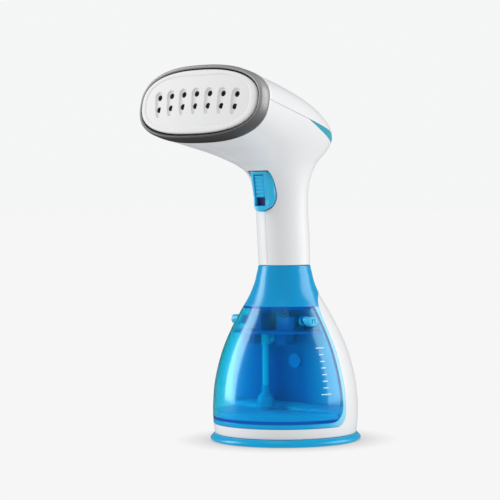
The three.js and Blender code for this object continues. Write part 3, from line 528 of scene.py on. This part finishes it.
def rear_on_line(slope, shift=0.0):
    """Section number whose rear point lies on the side-view line."""
    low, high = S_HANDLE + 4.0, S_END - 1.0
    for _ in range(40):
        mid = (low + high) / 2
        row = row_at(mid)
        z = LENS_TIP[1] + shift * math.hypot(1, slope) + slope * (row[2] - LENS_TIP[0])
        low, high = (low, mid) if row[3] > z else (mid, high)
    return (low + high) / 2


def tip_section():
    """Section number where the seam and the lens's lower line meet."""
    s = np.arange(S_HANDLE + 5, S_END - 1, 0.005)
    seam = phi_on_line(s, SEAM_SLOPE)
    gap = np.where(seam < 3, np.abs(seam - phi_on_line(s, LENS_LOW_SLOPE)), 9)
    return float(s[np.argmin(gap)])


S_TIP = tip_section()


def radius_at(z):
    """Outer radius of the base at heights z."""
    s = np.linspace(0, S_HANDLE, 600)
    rows = row_at(s)
    return np.interp(z, rows[:, 1], rows[:, 2])


def skin_piece(name, sections, start, end, columns, material, clamp=False):
    """A wall of the skin between two angles; clamp keeps it on the +X side of the middle."""
    s = np.array(sections)[:, None] * np.ones(columns + 1)
    v = np.linspace(0, 1, columns + 1)[None, :]
    a, b = start(np.array(sections))[:, None], end(np.array(sections))[:, None]
    phi = a + (b - a) * v
    front, back = skin(s, phi), inset(s, phi, WALL)
    if clamp:
        front[..., 0] = np.maximum(front[..., 0], GAP / 2)
        back[..., 0] = np.maximum(back[..., 0], GAP / 2)
    return slab(name, front, back, material)


def spread(a, b, n, power_=1.0):
    """n + 1 values from a to b; a power above 1 crowds them towards a."""
    return a + (b - a) * np.linspace(0, 1, n + 1) ** power_


# ------------------------------------------------------------ handle and head
def trigger_column(name, grow, y0, y1):
    """Front-view outline of the trigger or its opening: straight sides and a rounded foot."""
    w = TRIGGER_W + grow
    low = TRIGGER_LOW - grow * 1.3
    t = np.linspace(0, 1, 18)
    x = -w * ((1 - t) ** 2 + 1.8 * t * (1 - t))
    z = (1 - t) ** 2 * TRIGGER_FOOT + 2 * t * (1 - t) * (low + 0.6) + t**2 * low
    left = np.stack([x, z], 1)
    right = left[::-1] * [-1, 1]
    top = TRIGGER_TOP + grow
    return prism(name, [(-w, top), *left, *right[1:], (w, top)], "y", y0, y1)


def shells():
    rear = rear_on_line(LENS_LOW_SLOPE, -GAP / 2)

    def low(s):
        seam = phi_on_line(s, SEAM_SLOPE, -GAP / 2)
        lens = phi_on_line(s, LENS_LOW_SLOPE, -GAP / 2)
        return np.where(s <= rear + 1e-9, math.pi, np.where(s < S_TIP, lens, seam))

    handle = spread(S_HANDLE + 0.01, rear, 70)
    beside_lens = spread(rear, S_TIP, 30, 2)[1:]
    cheek = spread(S_TIP, S_BEZEL, 22)[1:]
    sections = np.concatenate([handle, beside_lens, cheek])
    right = skin_piece("shell_right_fine", sections, lambda s: 0 * s, low, 64, WHITE, clamp=True)
    boolean(right, trigger_column("cut", 0.6, -60, -10))
    bevel(right, 0.25)
    left = right.copy()
    left.data = right.data.copy()
    left.name = "shell_left_fine"
    left.data.transform(((-1, 0, 0, 0), (0, 1, 0, 0), (0, 0, 1, 0), (0, 0, 0, 1)))
    left.data.flip_normals()
    bpy.context.scene.collection.objects.link(left)
    place(right, "base", "white_plastic", "shell_right")
    place(left, "base", "white_plastic", "shell_left")


def top_cover():
    rear = rear_on_line(SEAM_SLOPE, GAP / 2)
    sections = spread(rear + 0.001, S_BEZEL, 60, 2)

    def start(s):
        return phi_on_line(s, SEAM_SLOPE, GAP / 2)

    ob = skin_piece("head_top_cover_fine", sections, start, lambda s: 2 * math.pi - start(s), 72, WHITE)
    place(bevel(ob, 0.25), "base", "white_plastic", "head_top_cover")


def rear_lens():
    u = np.linspace(0, 1, 121)
    reach = 1 - np.abs(2 * u - 1) * 0.985
    side = np.where(u < 0.5, 1, -1)
    grids = []
    for depth in (0, WALL):
        rows = []
        for v in np.linspace(0, 1, 9):
            shift = GAP / 2 * (2 * v - 1)
            slope = LENS_LOW_SLOPE + (SEAM_SLOPE - LENS_LOW_SLOPE) * v
            rear = rear_on_line(slope, -shift)
            s = S_TIP + (rear - S_TIP) * (1 - (1 - reach) ** 2)
            phi = np.where(reach > 0.9999, math.pi, phi_on_line(s, slope, -shift))
            p = inset(s, phi, depth) if depth else skin(s, phi)
            rows.append(p * np.stack([side, np.ones_like(side), np.ones_like(side)], -1))
        grids.append(np.array(rows))
    ob = slab("rear_lens_fine", grids[0], grids[1], LENS)
    place(bevel(ob, 0.2), "base", "lens_blue", "rear_lens")


# ------------------------------------------------------------ steam plate, bezel
def face_point(x, h, d):
    """A point x across, h up and d out from the rear plane of the bezel."""
    c, k = math.cos(FACE_TILT), math.sin(FACE_TILT)
    return np.stack([x + 0 * h, FACE_Y + h * k - d * c + 0 * x, FACE_Z + h * c + d * k + 0 * x], -1)


def face_sag(x):
    """How far the curved face falls back at x."""
    return FACE_SAG * (x / FACE_A) ** 2


def face_loop(name, section, material):
    """A ring along the face's outline; the section holds (offset, depth, follows the sag)."""
    a = np.linspace(0, 2 * math.pi, 240, endpoint=False)
    columns = []
    for offset, depth, follows in section:
        x = (FACE_A + offset) * power(np.cos(a), 2 / FACE_N)
        h = (FACE_B + offset) * power(np.sin(a), 2 / FACE_N)
        columns.append(face_point(x, h, depth - (face_sag(x) if follows else 0)))
    return loop_mesh(name, np.stack(columns, 1), material)


def bezel():
    d = BEZEL_DEPTH
    section = [
        (-0.1, 0.3, False), (0.3, 0.9, False), (0.35, 4, False), (0.1, d - 2.4, True),
        (-0.05, d - 1.9, True), (-0.1, d - 1.5, True), (-0.35, d - 0.8, True), (-0.8, d - 0.3, True),
        (-1.3, d - 0.05, True), (-1.8, d, True), (-2.4, d - 0.15, True), (-2.8, d - 0.5, True),
        (-2.9, d - 1.2, True), (-2.9, 5, False), (-2.7, 0.3, False),
    ]
    place(face_loop("bezel_ring_fine", section, BEZEL), "base", "dark_silver", "bezel_ring")
    g = d - 1.5
    gasket = [
        (-3.1, 5.2, False), (-3.1, g, True), (-3.3, g + 0.25, True),
        (-3.7, g + 0.25, True), (-3.9, g, True), (-3.9, 5.2, False),
    ]
    place(face_loop("plate_gasket_fine", gasket, BLACK), "base", "black_rubber", "plate_gasket")


def step(x, low, high):
    """Smooth step from 0 at low to 1 at high."""
    t = np.clip((x - low) / (high - low), 0, 1)
    return t * t * (3 - 2 * t)


def plate_relief(x, h):
    """Depth of the plate's face below its smooth dome: rim, step, slots and steam holes."""
    a, b = FACE_A + PLATE_OUT, FACE_B + PLATE_OUT
    rho = (np.abs(x / a) ** FACE_N + np.abs(h / b) ** FACE_N) ** (1 / FACE_N)
    edge = np.hypot(x, h) * (1 / np.maximum(rho, 1e-6) - 1)
    from_rim = np.clip(edge / RIM_WIDTH, 0, 1)
    down = RIM_DROP * (1 - np.sqrt(np.clip(1 - (1 - from_rim) ** 2, 0, 1)))
    down += 0.55 * step(edge, 3.6, 5.4)
    for i in range(HOLE_COUNT):
        cx = (i - (HOLE_COUNT - 1) / 2) * HOLE_PITCH
        ch = HOLE_UP - cx * cx / (2 * SAG_R)
        turn = cx / FAN_R
        lx = (x - cx) * math.cos(turn) - (h - ch) * math.sin(turn)
        lh = (x - cx) * math.sin(turn) + (h - ch) * math.cos(turn)
        share = np.clip((lh - SLOT_LOW) / (SLOT_TOP - SLOT_LOW), 0, 1)
        half = SLOT_HALF * share**SLOT_TAPER
        wide = np.where(lh > SLOT_TOP, np.hypot(lx, lh - SLOT_TOP) - SLOT_END_R, np.abs(lx) - half)
        wide = np.where(lh < SLOT_LOW, np.hypot(lx, lh - SLOT_LOW), wide)
        down += SLOT_DEPTH * step(-wide, -0.15, 0.75)
        for row in (0.5, -0.5):
            r = np.hypot(lx, lh - row * HOLE_ROWS)
            lip = 0.25 * step(-r, -HOLE_R - 0.5, -HOLE_R)
            down += lip + HOLE_DEPTH * step(-r, -HOLE_R - 0.05, -HOLE_R + 0.3)
            down -= POST_UP * step(-r, -POST_R, -0.4)
    return down


def plate_dome(x, h):
    """How far out the plate's smooth dome lies, before its relief."""
    return BEZEL_DEPTH + 1.2 - face_sag(x) - 0.9 * (h / FACE_B) ** 2


def steam_plate():
    a, b = FACE_A + PLATE_OUT, FACE_B + PLATE_OUT
    t = np.linspace(-1, 1, 251)
    v = np.sin(t * math.pi / 2) * 0.9999
    u = np.linspace(-1, 1, 461)
    half = a * (1 - np.abs(v) ** FACE_N) ** (1 / FACE_N)
    x = u[None, :] * half[:, None]
    h = np.repeat((v * b)[:, None], len(u), 1)
    dome = plate_dome(x, h)
    front = face_point(x, h, dome - plate_relief(x, h))
    back = face_point(x, h, dome - 5)
    ob = slab("steam_plate_fine", front, back, PLATE)
    ob.data.set_sharp_from_angle(angle=math.radians(60))
    place(ob, "base", "plate_metal", "steam_plate")


def hole_shade_rings():
    """A black ring deep in each steam hole, round its small centre post, as painted shade for the hole's dark
    inside.
    """
    a = np.linspace(0, 2 * math.pi, 32, endpoint=False)[:, None]
    section = np.array([(0.7, -3.2), (0.7, -2.25), (HOLE_R + 0.2, -2.25), (HOLE_R + 0.2, -3.2)])
    for i in range(HOLE_COUNT):
        cx = (i - (HOLE_COUNT - 1) / 2) * HOLE_PITCH
        for row in (1, -1):
            x = cx + row * math.sin(cx / FAN_R) * HOLE_ROWS / 2
            h = HOLE_UP - cx * cx / (2 * SAG_R) + row * HOLE_ROWS / 2
            d = plate_dome(x, h) + section[None, :, 1]
            px = x + section[None, :, 0] * np.cos(a)
            ph = h + section[None, :, 0] * np.sin(a)
            ring = loop_mesh(f"steam_hole_shade_{2 * i + (3 - row) // 2}", face_point(px, ph, d + 0 * a), BLACK)
            place(ring, "base", "black_rubber")


# ------------------------------------------------------------ trigger
def trigger_front(z):
    """y of the trigger's face: upright below the knee, leaning forward above it."""
    return TRIGGER_FRONT - np.maximum(z - TRIGGER_KNEE, 0) * TRIGGER_LEAN


def leaning(name, w, d0, d1, z0, z1):
    """A box whose front and rear follow the lean, at depths d0 to d1 behind the face."""
    y0 = TRIGGER_FRONT - (z0 - TRIGGER_KNEE) * TRIGGER_LEAN
    y1 = TRIGGER_FRONT - (z1 - TRIGGER_KNEE) * TRIGGER_LEAN
    return prism(name, [(y0 + d0, z0), (y0 + d1, z0), (y1 + d1, z1), (y1 + d0, z1)], "x", -w, w)


def face_half_width(z):
    """Half width of the trigger's flat face, with its round lower end."""
    straight = 6.55 + 0.045 * np.maximum(z - TRIGGER_KNEE, 0)
    drop = np.clip((LIP_TOP - z) / (LIP_TOP - LIP_LOW), 0, 1)
    return straight * np.sqrt(np.clip(1 - drop**2.6, 0.002, 1))


def trigger():
    lip = spread(LIP_LOW + 0.04, LIP_TOP, 24, 1.6)[1:]
    z = np.concatenate([[LIP_LOW], lip, spread(LIP_TOP, TRIGGER_TOP, 40)[1:]])[:, None]
    face = face_half_width(z)
    front = trigger_front(z)
    bow = 0.35
    u = np.linspace(-1, 1, 25)[None, :]
    flank = np.linspace(0, 1, 10)[None, 1:]
    column = np.interp(z, *column_widths())
    shoulder = np.maximum(column, 0.3)
    knee_y = front + np.where(column > face, 4.9, 1.4)
    face_x, face_y = face * u, front - bow * (1 - u**2) + 0 * z
    side_x = face + (shoulder - face) * flank - 0.5 * np.sin(flank * math.pi) * (column > face)
    side_y = front + (knee_y - front) * flank
    rear_x, rear_y = shoulder, np.full_like(z, -19.5)
    x = np.concatenate([-rear_x, -side_x[:, ::-1], face_x, side_x, rear_x], 1)
    y = np.concatenate([rear_y, side_y[:, ::-1], face_y, side_y, rear_y], 1)
    outer = np.stack([x, y, np.broadcast_to(z, x.shape)], -1)
    inner = outer * [0.7, 1, 1]
    inner[..., 1] = -19.4
    ob = slab("trigger_fine", outer, inner, TRIGGER)
    boolean(ob, leaning("cut", LOCK_W + 0.35, -9, 2.4, LOCK_LOW - 6.6, LOCK_HIGH + 0.5))
    boolean(ob, plain_box("arm", (-8, 8), (-23, -17), (199, 205.2)), "UNION")
    bevel(ob, 0.25, 3, 38)
    place(ob, "trigger", "trigger_blue", "trigger")
    # A thin navy sheet at the back of the lock's recess, as painted shade.
    recess_shade = leaning("lock_recess_shade", LOCK_W + 0.3, 2.35, 2.6, LOCK_LOW - 6.5, LOCK_HIGH + 0.4)
    place(finish_mesh(recess_shade, NAVY_PAINTED_SHADE), "trigger", "trigger_blue")


def column_widths():
    """Heights and half widths of the trigger inside the handle."""
    t = np.linspace(1, 0, 40)
    z = (1 - t) ** 2 * TRIGGER_FOOT + 2 * t * (1 - t) * (TRIGGER_LOW + 0.6) + t**2 * TRIGGER_LOW
    x = TRIGGER_W * ((1 - t) ** 2 + 1.8 * t * (1 - t))
    return np.append(z, TRIGGER_TOP), np.append(x, TRIGGER_W)


def plain_box(name, xs, ys, zs):
    """A box between pairs of limits."""
    pts = [(x, y, z) for x in xs for y in ys for z in zs]
    faces = [(0, 1, 3, 2), (4, 6, 7, 5), (0, 4, 5, 1), (2, 3, 7, 6), (0, 2, 6, 4), (1, 5, 7, 3)]
    return face_out(make(name, pts, faces, BLACK))


def trigger_lock():
    z = np.linspace(LOCK_LOW, LOCK_HIGH, 190)[:, None]
    x = np.linspace(-LOCK_W, LOCK_W, 31)[None, :]
    from_edge = np.minimum(np.minimum(LOCK_W - np.abs(x), z - LOCK_LOW), LOCK_HIGH - z)
    phase = (z - LOCK_LOW - 1.25) / LOCK_PITCH
    near = np.abs(phase - np.clip(np.round(phase), 0, LOCK_RIBS - 1)) * LOCK_PITCH
    rib = step(-near, -1.0, -0.45) * step(LOCK_W - np.abs(x), 0.4, 0.9)
    depth = 0.9 - 0.85 * rib + 0.4 * (1 - step(from_edge, 0, 0.45))
    lean = TRIGGER_FRONT - (z - TRIGGER_KNEE) * TRIGGER_LEAN
    grid = np.broadcast_to(x, depth.shape), np.broadcast_to(z, depth.shape)
    front = np.stack([grid[0], lean + depth, grid[1]], -1)
    back = np.stack([grid[0], lean + 2.1 + 0 * depth, grid[1]], -1)
    place(slab("trigger_lock_fine", front, back, TRIGGER), "lock", "trigger_blue", "trigger_lock")


# ------------------------------------------------------------ base
def border_line(d):
    """Side view of the border between frame and housing, moved by d into the housing."""
    low = [(-REACH, BAND_TOP - d), (-7, BAND_TOP - d), *arc(-7, BAND_TOP + 11, 11 + d, -90, 0, 16)[1:]]
    high = smooth_line([
        (4 + d, BAND_TOP + 11), (4 + d, 40), (2.3 + d, 72), (0.8 + d, 92), (1.6 + d, 102 - d),
        (5 + d, 108.5 - d), (11, 112.8 - d), (18, 115.6 - d), (26, 117.4 - d), (REACH, 119 - d),
    ])
    return [*low, *high[1:]]


def tank_back_y(z):
    """y of the tank's back, which leans a little."""
    return -3.4 + (TANK_ROOF - z) * 0.052


CORNER_Y = tank_back_y(30) - TANK_CORNER
CORNER_Z = TANK_FLOOR + TANK_CORNER


def tank_outline(d):
    """Side view of the tank, grown by d; the front is left open."""
    corner = arc(CORNER_Y, CORNER_Z, TANK_CORNER + d, -90, 0, 16)[1:]
    return [
        (-REACH, TANK_FLOOR - d), (-12, TANK_FLOOR - d), *corner,
        (tank_back_y(TANK_ROOF) + d, TANK_ROOF + d), (-REACH, TANK_ROOF + d),
    ]


def body_ring(name, z0, z1, wall, material):
    """A hollow length of the base, with its two rims eased."""
    edge = 0.35
    z = np.linspace(z0, z1, 90)
    r = radius_at(z)
    r[0] -= edge
    r[-1] -= edge
    z = np.insert(z, 1, z0 + edge)
    r = np.insert(r, 1, radius_at(z0 + edge))
    z = np.insert(z, -1, z1 - edge)
    r = np.insert(r, -1, radius_at(z1 - edge))
    order = np.argsort(z, kind="stable")
    outer = list(zip(r[order], z[order]))
    inner = [(radius_at(q) - wall, q) for q in np.linspace(z1, z0, 60)]
    return turned(name, [*outer, *inner, outer[0]], material, 224)


def body_solid(name, z0, z1, inset_, material):
    """A solid length of the base, inset all round."""
    z = np.linspace(z0, z1, 70)
    return turned(name, [(0, z0), *zip(radius_at(z) - inset_, z), (0, z1)], material, 224)


def rear_housing():
    ring = body_ring("rear_housing_fine", BAND_TOP - 8 + 0.15, 118.6, WALL, WHITE)
    region = across([*border_line(GAP / 2), (REACH, 0), (-REACH, 0)])
    boolean(ring, region, "INTERSECT")
    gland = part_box("cord_gland")
    centre = (gland[0] + gland[1]) / 2 / MM
    hole = turned("cut", [(0, -30), (6.5, -30), (6.5, 30), (0, 30)], BLACK, 48)
    hole.data.transform(((1, 0, 0, 0), (0, 0, 1, centre[1] * MM), (0, 1, 0, centre[2] * MM), (0, 0, 0, 1)))
    boolean(ring, face_out(hole))
    place(bevel(ring, 0.25), "base", "white_plastic", "rear_housing")


def tank_frame():
    ring = body_ring("tank_frame_fine", BAND_TOP, COLLAR_TOP, WALL + 0.4, FRAME)
    region = across([*border_line(-GAP / 2), (REACH, 2 * REACH), (-REACH, 2 * REACH)])
    boolean(ring, region, "INTERSECT")
    boolean(ring, across(tank_outline(GAP)))
    bevel(ring, 0.3)
    # Faces below the tank's roof (the sill and rails) take the painted highlight.
    ring.data.materials.append(RIM_PAINTED_HIGHLIGHT)
    for face in ring.data.polygons:
        face.material_index = int(face.center.z < TANK_ROOF * MM)
    place(ring, "base", "frame_blue", "tank_frame")


def frame_roof():
    """The frame's floor above the tank."""
    low, high, inner = TANK_ROOF + 0.4, TANK_ROOF + 2.6, 5
    section = [
        (inner, low), (radius_at(low) - 2.5, low), (radius_at(high) - 2.5, high), (inner, high), (inner, low),
    ]
    roof = turned("frame_roof", section, FRAME, 96)
    back = across([*border_line(-GAP / 2 - 1.2), (REACH, 0), (-REACH, 0)])
    place(boolean(roof, back), "base", "frame_blue")


def close_edges(ob):
    """Opaque colours on the clear shell's cut edges: a blue with a painted glow above and below, and a cyan
    with a painted glow, lighter at the bottom, at the rear.
    """
    ob.data.materials.append(EDGE_PAINTED_GLOW)
    ob.data.materials.append(SUMP_PAINTED_GLOW)
    for face in ob.data.polygons:
        _, y, z = face.center / MM
        if z < CORNER_Z:
            rear = y > CORNER_Y and math.hypot(y - CORNER_Y, z - CORNER_Z) > TANK_CORNER - 0.4
        else:
            rear = y > tank_back_y(z) - 0.4
        if abs(face.normal.z) > 0.8:
            face.material_index = 1
        elif rear and face.normal.y > 0.3:
            face.material_index = 2


def tank():
    outer = body_solid("tank_shell_fine", TANK_FLOOR, TANK_ROOF, 0, TANK)
    boolean(outer, across(tank_outline(0)), "INTERSECT")
    corner = arc(CORNER_Y, CORNER_Z, TANK_CORNER - WALL, -90, 0, 12)[1:]
    inside = [
        (-REACH, TANK_FLOOR + WALL), (-12, TANK_FLOOR + WALL), *corner,
        (REACH, CORNER_Z), (REACH, TANK_ROOF - WALL), (-REACH, TANK_ROOF - WALL),
    ]
    hollow = body_solid("cut_body", TANK_FLOOR + 1, TANK_ROOF - 1, WALL, TANK)
    boolean(hollow, across(inside), "INTERSECT")
    boolean(outer, hollow)
    for side in (1, -1):
        boolean(outer, latch_oval("cut", side, 24, 60, 0.8))
    finish_mesh(outer, TANK)
    bevel(outer, 0.25)
    close_edges(outer)
    place(outer, "tank", "tank_blue", "tank_shell")


def tank_seal():
    """Thin blue strip in the joint round the tank, just below the surface, with the edges' painted glow."""
    z = np.linspace(TANK_FLOOR - 1, TANK_ROOF + 1, 90)
    outer = list(zip(radius_at(z) - 0.22, z))
    inner = list(zip(radius_at(z[::-1]) - 1.6, z[::-1]))
    strip = turned("tank_seal", [*outer, *inner, outer[0]], EDGE_PAINTED_GLOW, 224)
    boolean(strip, across(tank_outline(GAP + 0.02)), "INTERSECT")
    boolean(strip, across(tank_outline(0.06)))
    place(finish_mesh(strip, EDGE_PAINTED_GLOW), "base", "frame_blue")


def sump():
    """Thick lower end of the tank, seen through its wall, with a painted glow that is lighter at the bottom.
    """
    low = TANK_FLOOR + WALL + 0.1
    block = body_solid("tank_sump", low, low + 4.2, WALL + 0.2, SUMP_PAINTED_GLOW)
    y = tank_back_y(low) - 5
    boolean(block, across([(-REACH, 0), (y, 0), (y, 60), (-REACH, 60)]), "INTERSECT")
    boolean(block, turned("cut", [(0, low - 5), (5, low - 5), (5, 60), (0, 60)], SUMP_PAINTED_GLOW, 48))
    place(bevel(block, 0.8, 4), "tank", "tank_blue")


def latch_oval(name, side, x0, x1, grow):
    """A latch's oval bar from x0 to x1 on one side, grown all round."""
    _, y, z, w, h = LATCH
    r = (h + grow) / 2
    half = (w + grow) / 2 - r
    right = arc(y + half, z, r, -90, 90, 14)
    left = arc(y - half, z, r, 90, 270, 14)
    low, high = sorted((side * x0, side * x1))
    return prism(name, [*right, *left], "x", low, high)


def latches():
    x, y, z = LATCH[:3]
    for side, name in ((1, "right"), (-1, "left")):
        ob = latch_oval(f"tank_latch_{name}_fine", side, 28.4, x, 0)
        for o in (-1.6, 1.6):
            a, b = sorted((side * (x - 1), side * (x + 1)))
            boolean(ob, plain_box("cut", (a, b), (y + o - 0.5, y + o + 0.5), (z - 2, z + 2)))
        finish_mesh(ob, TRIGGER)
        place(bevel(ob, 0.5, 3), f"latch_{name}", "trigger_blue", f"tank_latch_{name}")


def level_marks():
    """Raised level marks on the tank's right flank."""
    for i, z in enumerate(np.linspace(MARK_TOP, MARK_LOW, MARK_COUNT)):
        at_end = i in (0, MARK_COUNT - 1)
        span = math.radians(9 if at_end else 4.5)
        a = np.linspace(MARK_ANGLE - span / 2, MARK_ANGLE + span / 2, 9)[None, :]
        zz = np.array([z - 0.35, z + 0.35])[:, None]
        grids = []
        for off in (0.25, -0.05):
            r = radius_at(zz) + off
            grids.append(np.stack([r * np.sin(a), -r * np.cos(a), zz + 0 * a], -1))
        ob = slab(f"level_mark_{i + 1}", grids[0], grids[1], MARK)
        place(ob, "tank", "tank_blue")


def foot_ring():
    top = BAND_TOP - 8 - 0.15
    profile = rounded(
        [(52, 0.05), (52, 0), (57.3, 0), (58.8, 1.6), (58.2, 3.2), (55.8, top), (52, top), (52, 0.05)],
        [0.02, 1.2, 1.4, 1.2, 0.5, 0.2],
        6,
    )
    place(turned("foot_ring_fine", profile, RING, 240), "base", "ring_blue", "foot_ring")


# ------------------------------------------------------------ CAD nodes shown as they are
SHOWN = {
    "bottom_cover": GREY, "base_screw_1": STEEL, "base_screw_2": STEEL, "base_screw_3": STEEL,
    "base_screw_4": STEEL, "partition_wall": TANK_BACK_PAINTED_LIGHT, "tank_back": TANK_BACK_PAINTED_LIGHT, "latch_tray": TRAY,
    "latch_spring_right": STEEL, "latch_spring_left": STEEL, "filler_plug": PLUG,
    "tube_connector": CLEAR_TUBE, "suction_tube": CLEAR_TUBE, "filter_weight": TRIGGER,
    "water_pump": DARK, "pump_bracket": GREY, "inlet_coupling": BLACK, "outlet_hose": CLEAR_TUBE,
    "control_board": BOARD, "indicator_led": LED, "terminal_block": GREY, "cord_gland": DARK,
    "heater_block": CAST, "heating_element": STEEL, "heater_cover": CAST, "thermostat": DARK,
    "thermal_fuse": GREY, "head_screw_left": STEEL, "head_screw_right": STEEL, "trigger_pin": STEEL,
    "trigger_spring": STEEL, "micro_switch": DARK, "trigger_bracket": GREY,
}


def dress_cad_nodes():
    """Materials for the CAD nodes that are shown as they are."""
    for name, material in SHOWN.items():
        ob = frame["nodes"][name]
        ob.data.materials.clear()
        ob.data.materials.append(material)


# ------------------------------------------------------------ stage, light and camera
AZIMUTH = math.radians(40)
EYE_HEIGHT = 0.18375
EYE_DISTANCE = 1.5
EYE_SIDE = 0.02665
EYE_PITCH = math.radians(1.38)
EYE_ROLL = math.radians(0.45)
LENS_MM = 138.7
RIGHT = Vector((math.cos(AZIMUTH), math.sin(AZIMUTH), 0))
BACK = Vector((math.sin(AZIMUTH), -math.cos(AZIMUTH), 0))
PALE = 0.922
FILL = 0.72
DARK_ROOM = 0.04
FLOOR_FILL = 0.92
FLOOR_REFLECTED = 0.12
FLOOR_HALF = 30000
CONTACT_REACH = 0.034
CONTACT_SHADE = 0.58


def camera():
    data = bpy.data.cameras.new("camera")
    data.lens = LENS_MM
    data.sensor_width = 36
    ob = bpy.data.objects.new("camera", data)
    ob.location = BACK * EYE_DISTANCE - RIGHT * EYE_SIDE + Vector((0, 0, EYE_HEIGHT))
    turn = Matrix.Rotation(AZIMUTH, 3, "Z") @ Matrix.Rotation(math.pi / 2 - EYE_PITCH, 3, "X")
    ob.rotation_euler = (turn @ Matrix.Rotation(-EYE_ROLL, 3, "Z")).to_euler()
    bpy.context.scene.collection.objects.link(ob)
    bpy.context.scene.camera = ob


def softbox(name, turn, height, distance, width, tall, watts):
    """A large soft light; turn is the angle from the camera's side round to its right."""
    data = bpy.data.lights.new(name, "AREA")
    data.shape = "RECTANGLE"
    data.size = width
    data.size_y = tall
    data.energy = watts
    ob = bpy.data.objects.new(name, data)
    a = math.radians(turn)
    ob.location = (BACK * math.cos(a) + RIGHT * math.sin(a)) * distance + Vector((0, 0, height))
    ob.rotation_euler = (Vector((0, 0, 0.15)) - ob.location).to_track_quat("-Z", "Y").to_euler()
    bpy.context.scene.collection.objects.link(ob)
    return ob


def by_ray(nodes, links, seen, fill, reflected):
    """A strength that is seen directly or through glass, fills as diffuse light, and is reflected."""
    path = nodes.new("ShaderNodeLightPath")
    out = seen
    for ray, value in (("Is Diffuse Ray", fill), ("Is Glossy Ray", reflected), ("Is Transmission Ray", seen)):
        mix = nodes.new("ShaderNodeMix")
        links.new(path.outputs[ray], mix.inputs["Factor"])
        for socket, source in (("A", out), ("B", value)):
            if isinstance(source, float):
                mix.inputs[socket].default_value = source
            else:
                links.new(source, mix.inputs[socket])
        out = mix.outputs["Result"]
    return out


def world():
    """Pale to the camera, dimmer as a fill light, and dark in reflections, like a studio."""
    w = bpy.data.worlds.new("studio")
    bpy.context.scene.world = w
    w.use_nodes = True
    w.cycles.sampling_method = "NONE"
    nodes, links = w.node_tree.nodes, w.node_tree.links
    nodes["Background"].inputs["Color"].default_value = (0.99, 0.995, 1, 1)
    strength = by_ray(nodes, links, PALE, FILL, DARK_ROOM)
    links.new(strength, nodes["Background"].inputs["Strength"])


def floor():
    """A pale glowing table with a soft contact shadow."""
    mat = bpy.data.materials.new("pale_floor")
    mat.use_nodes = True
    mat.cycles.emission_sampling = "NONE"
    nodes, links = mat.node_tree.nodes, mat.node_tree.links
    nodes.remove(nodes["Principled BSDF"])
    shade = nodes.new("ShaderNodeAmbientOcclusion")
    shade.samples = 24
    shade.inputs["Distance"].default_value = CONTACT_REACH
    soft = nodes.new("ShaderNodeMapRange")
    soft.inputs["From Min"].default_value = 0.35
    soft.inputs["From Max"].default_value = 1.0
    soft.inputs["To Min"].default_value = PALE * CONTACT_SHADE
    soft.inputs["To Max"].default_value = PALE
    glow = nodes.new("ShaderNodeEmission")
    links.new(shade.outputs["AO"], soft.inputs["Value"])
    strength = by_ray(nodes, links, soft.outputs["Result"], FLOOR_FILL, FLOOR_REFLECTED)
    links.new(strength, glow.inputs["Strength"])
    links.new(glow.outputs["Emission"], nodes["Material Output"].inputs["Surface"])
    half = FLOOR_HALF
    corners = [(-half, -half, 0), (half, -half, 0), (half, half, 0), (-half, half, 0)]
    ob = make("floor", corners, [(0, 1, 2, 3)], mat)
    ob.location.z = -0.0002


# ------------------------------------------------------------ assembly
dress_cad_nodes()
shells()
top_cover()
rear_lens()
bezel()
steam_plate()
hole_shade_rings()
trigger()
trigger_lock()
rear_housing()
tank_frame()
frame_roof()
tank()
tank_seal()
sump()
latches()
level_marks()
foot_ring()
floor()
world()
softbox("left_box", turn=-100, height=0.36, distance=1.3, width=0.6, tall=1.6, watts=12)
softbox("right_box", turn=92, height=0.36, distance=1.3, width=1.1, tall=1.5, watts=13)
top_box = softbox("top_box", turn=-20, height=1.5, distance=0.5, width=1.0, tall=1.0, watts=5)
top_box.visible_glossy = False
camera()
bpy.context.scene.view_settings.view_transform = "Standard"
